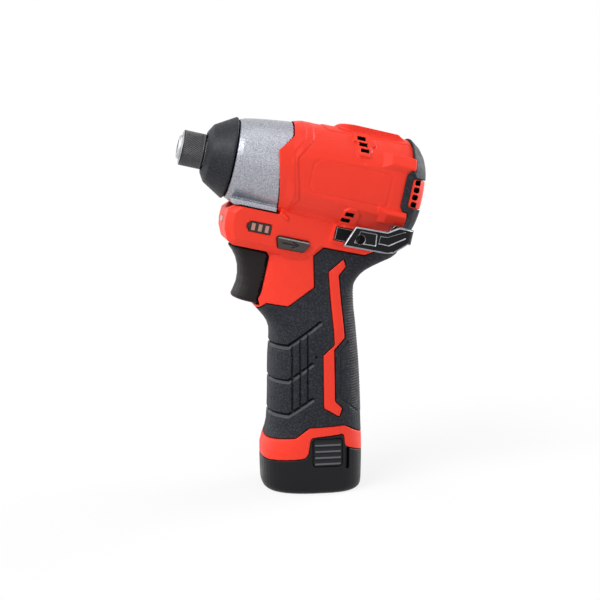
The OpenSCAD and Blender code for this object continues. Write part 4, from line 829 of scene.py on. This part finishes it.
def add_screws(node, sign):
    """Stands for a node of screws whose heads face along Y with the given sign."""
    angles = np.arange(SCREW_COLUMNS) * 2.0 * math.pi / SCREW_COLUMNS
    lobes = LOBE_R + LOBE_SWING * np.cos(LOBES * angles)
    vertices, faces = [], []
    for points in islands(node):
        station, rise, side = to_barrel(points)
        along, up = (station.min() + station.max()) / 2, (rise.min() + rise.max()) / 2
        depth = (sign * side).max() - sign * side
        radius = np.hypot(station - along, rise - up)
        head_r = radius.max()
        shank_r = radius[depth > depth.max() - SHANK_END].max()
        head_h = depth[radius > head_r - HEAD_RIM].max()
        top = (sign * side).max()
        rings = [(TIP_R, depth.max()), (shank_r, depth.max()), (shank_r, head_h), (head_r, head_h)]
        rings += [(head_r - off, deep) for off, deep in HEAD_ROUND]
        rings += [(lobes - off, deep) for off, deep in RECESS_ROUND]
        rings += [(TIP_R, RECESS_DEPTH + TIP_DEPTH)]
        first = len(vertices)
        for ring, deep in rings:
            reach = ring * np.ones(SCREW_COLUMNS)
            vertices.extend(
                tuple(from_barrel(along + r * math.cos(a), up + r * math.sin(a), sign * (top - deep)))
                for r, a in zip(reach, angles)
            )
        for i in range(len(rings) - 1):
            for k in range(SCREW_COLUMNS):
                n = (k + 1) % SCREW_COLUMNS
                low, high = first + i * SCREW_COLUMNS, first + (i + 1) * SCREW_COLUMNS
                faces.append((low + k, low + n, high + n, high + k))
        end = first + (len(rings) - 1) * SCREW_COLUMNS
        faces.append(tuple(range(first, first + SCREW_COLUMNS)))
        faces.append(tuple(range(end, end + SCREW_COLUMNS)))
    piece = build_piece(node + "_lobed", vertices, faces)
    stand_for(piece, node, "screw")
    piece.data.set_sharp_from_angle(angle=math.radians(SHARP_CORNER))


# Stage: a wide pale floor under a white sky, and soft lights from far off
FLOOR_HALF = 30.0
BACKDROP = 1.0
SKY = 1.0
FLOOR_GLOW = 0.8
FLOOR_GREY = 0.9
FLOOR_ROUGHNESS = 0.9
AMBIENT = 0.16
AMBIENT_TINT = (0.95, 0.97, 1.0, 1.0)
WHITE = (1.0, 1.0, 1.0, 1.0)
# Lamps by azimuth (0 is in front, positive to the right), elevation and spread in degrees, and strength
LAMPS = {
    "key": (-55.0, 42.0, 36.0, 2.25),
    "front": (10.0, 20.0, 50.0, 0.3),
    "top": (30.0, 75.0, 50.0, 0.5),
    "right_rim": (108.0, 18.0, 50.0, 2.5),
    "left_rim": (-112.0, 15.0, 50.0, 1.0),
}


def seen_directly(tree):
    """1 for the rays that show the background: from the camera, in a reflection or through glass."""
    path = add_node(tree, "ShaderNodeLightPath")
    total = path.outputs["Is Camera Ray"]
    for kind in ("Is Glossy Ray", "Is Transmission Ray"):
        either = add_node(tree, "ShaderNodeMath", operation="MAXIMUM")
        tree.links.new(total, either.inputs[0])
        tree.links.new(path.outputs[kind], either.inputs[1])
        total = either.outputs[0]
    return total


def add_stage():
    corners = [(-1, -1), (1, -1), (1, 1), (-1, 1)]
    mesh = bpy.data.meshes.new("floor")
    mesh.from_pydata([(x * FLOOR_HALF, y * FLOOR_HALF, 0.0) for x, y in corners], [], [(0, 1, 2, 3)])
    floor = bpy.data.objects.new("floor", mesh)
    scene.collection.objects.link(floor)
    material, tree, shader = new_material("pale_floor")
    shader.inputs["Base Color"].default_value = (FLOOR_GREY, FLOOR_GREY, FLOOR_GREY, 1.0)
    shader.inputs["Roughness"].default_value = FLOOR_ROUGHNESS
    shader.inputs["Specular IOR Level"].default_value = 0.0
    glow = add_node(tree, "ShaderNodeEmission", {"Strength": BACKDROP})
    both = add_node(tree, "ShaderNodeMixShader")
    amount = ramp(tree, seen_directly(tree), 0.0, FLOOR_GLOW, 0.0, 1.0)
    tree.links.new(amount, both.inputs["Fac"])
    tree.links.new(shader.outputs["BSDF"], both.inputs[1])
    tree.links.new(glow.outputs["Emission"], both.inputs[2])
    tree.links.new(both.outputs["Shader"], tree.nodes["Material Output"].inputs["Surface"])
    mesh.materials.append(material)


def add_sun(name, azimuth, elevation, spread, strength):
    """A soft light far off."""
    data = bpy.data.lights.new(name, "SUN")
    data.angle = math.radians(spread)
    data.energy = strength
    lamp = bpy.data.objects.new(name, data)
    scene.collection.objects.link(lamp)
    turn, rise = math.radians(azimuth), math.radians(elevation)
    toward = Vector((math.sin(turn) * math.cos(rise), -math.cos(turn) * math.cos(rise), math.sin(rise)))
    lamp.rotation_euler = (-toward).to_track_quat("-Z", "Y").to_euler()


def add_lights():
    for name, settings in LAMPS.items():
        add_sun(name, *settings)
    world = bpy.data.worlds.new("studio")
    scene.world = world
    world.use_nodes = True
    tree = world.node_tree
    light = tree.nodes["Background"]
    light.inputs["Color"].default_value = AMBIENT_TINT
    light.inputs["Strength"].default_value = AMBIENT
    white = add_node(tree, "ShaderNodeBackground", {"Strength": SKY})
    white.inputs["Color"].default_value = WHITE
    both = add_node(tree, "ShaderNodeMixShader")
    tree.links.new(seen_directly(tree), both.inputs["Fac"])
    tree.links.new(light.outputs["Background"], both.inputs[1])
    tree.links.new(white.outputs["Background"], both.inputs[2])
    tree.links.new(both.outputs["Shader"], tree.nodes["World Output"].inputs["Surface"])


# Build
scene.view_settings.view_transform = "Standard"
add_camera()
add_stage()
add_lights()

for name, node in nodes.items():
    dress(node, MATERIAL_OF_SLOT[slot_of_node[name]])

# Skins: material, voxel in mm, rounds of smoothing, share of faces kept, then the shape drawn on them
SKINS = {
    "left_housing": ("red", 0.36, 2, 0.3, housing_height, housing_hollow, [upper_rim(-1), collar_tab(-1)]),
    "right_housing": ("red", 0.36, 2, 0.3, housing_height, housing_hollow, [upper_rim(1), collar_tab(1)]),
    "left_grip": ("grip", 0.29, 3, 0.35, grip_height),
    "right_grip": ("grip", 0.29, 3, 0.35, grip_height),
    "rear_guard": ("guard", 0.3, 3, 0.4),
    "hammer_case": ("alloy", 0.33, 3, 0.7),
    "nose_bumper": ("bumper", 0.33, 3, 0.5),
    "trigger": ("trigger", 0.33, 4, 0.5),
    "direction_button": ("button", 0.18, 3, 1.0, button_height),
    "battery_base": ("battery", 0.33, 3, 0.3),
    "left_release": ("battery", 0.2, 3, 0.5),
    "right_release": ("battery", 0.2, 3, 0.5),
    "belt_hook": ("hook", 0.2, 3, 1.0, hook_height),
}
skins = {node: moulded(node, *settings) for node, settings in SKINS.items()}
add_sleeve()
add_screws("housing_screws", 1)
add_screws("hook_screw", -1)
add_spring("hammer_spring")
add_spring("trigger_spring")

# Shadows in the joints: the pieces next to each skin and how far their shadow reaches in mm
HALVES = ["left_housing", "right_housing"]
JOINT_SHADOWS = {
    "hammer_case": (HALVES + ["nose_bumper"], 0.8),
    "left_grip": (["left_housing"], 0.6),
    "right_grip": (["right_housing"], 0.6),
    "rear_guard": (HALVES, 0.5),
    "trigger": (HALVES, 1.3),
    "direction_button": (HALVES, 0.3),
}
for node, (others, reach) in JOINT_SHADOWS.items():
    darken_joint(skins[node], [skins[other] for other in others], reach)
for side in ("left", "right"):
    mark_grip(skins[side + "_grip"])
    mark_release(skins[side + "_release"])
mark_button(skins["direction_button"])
mark_hook(skins["belt_hook"])
dress(nodes["gauge_lens"], "gauge")
dress(nodes["gauge_lights"], "bars")
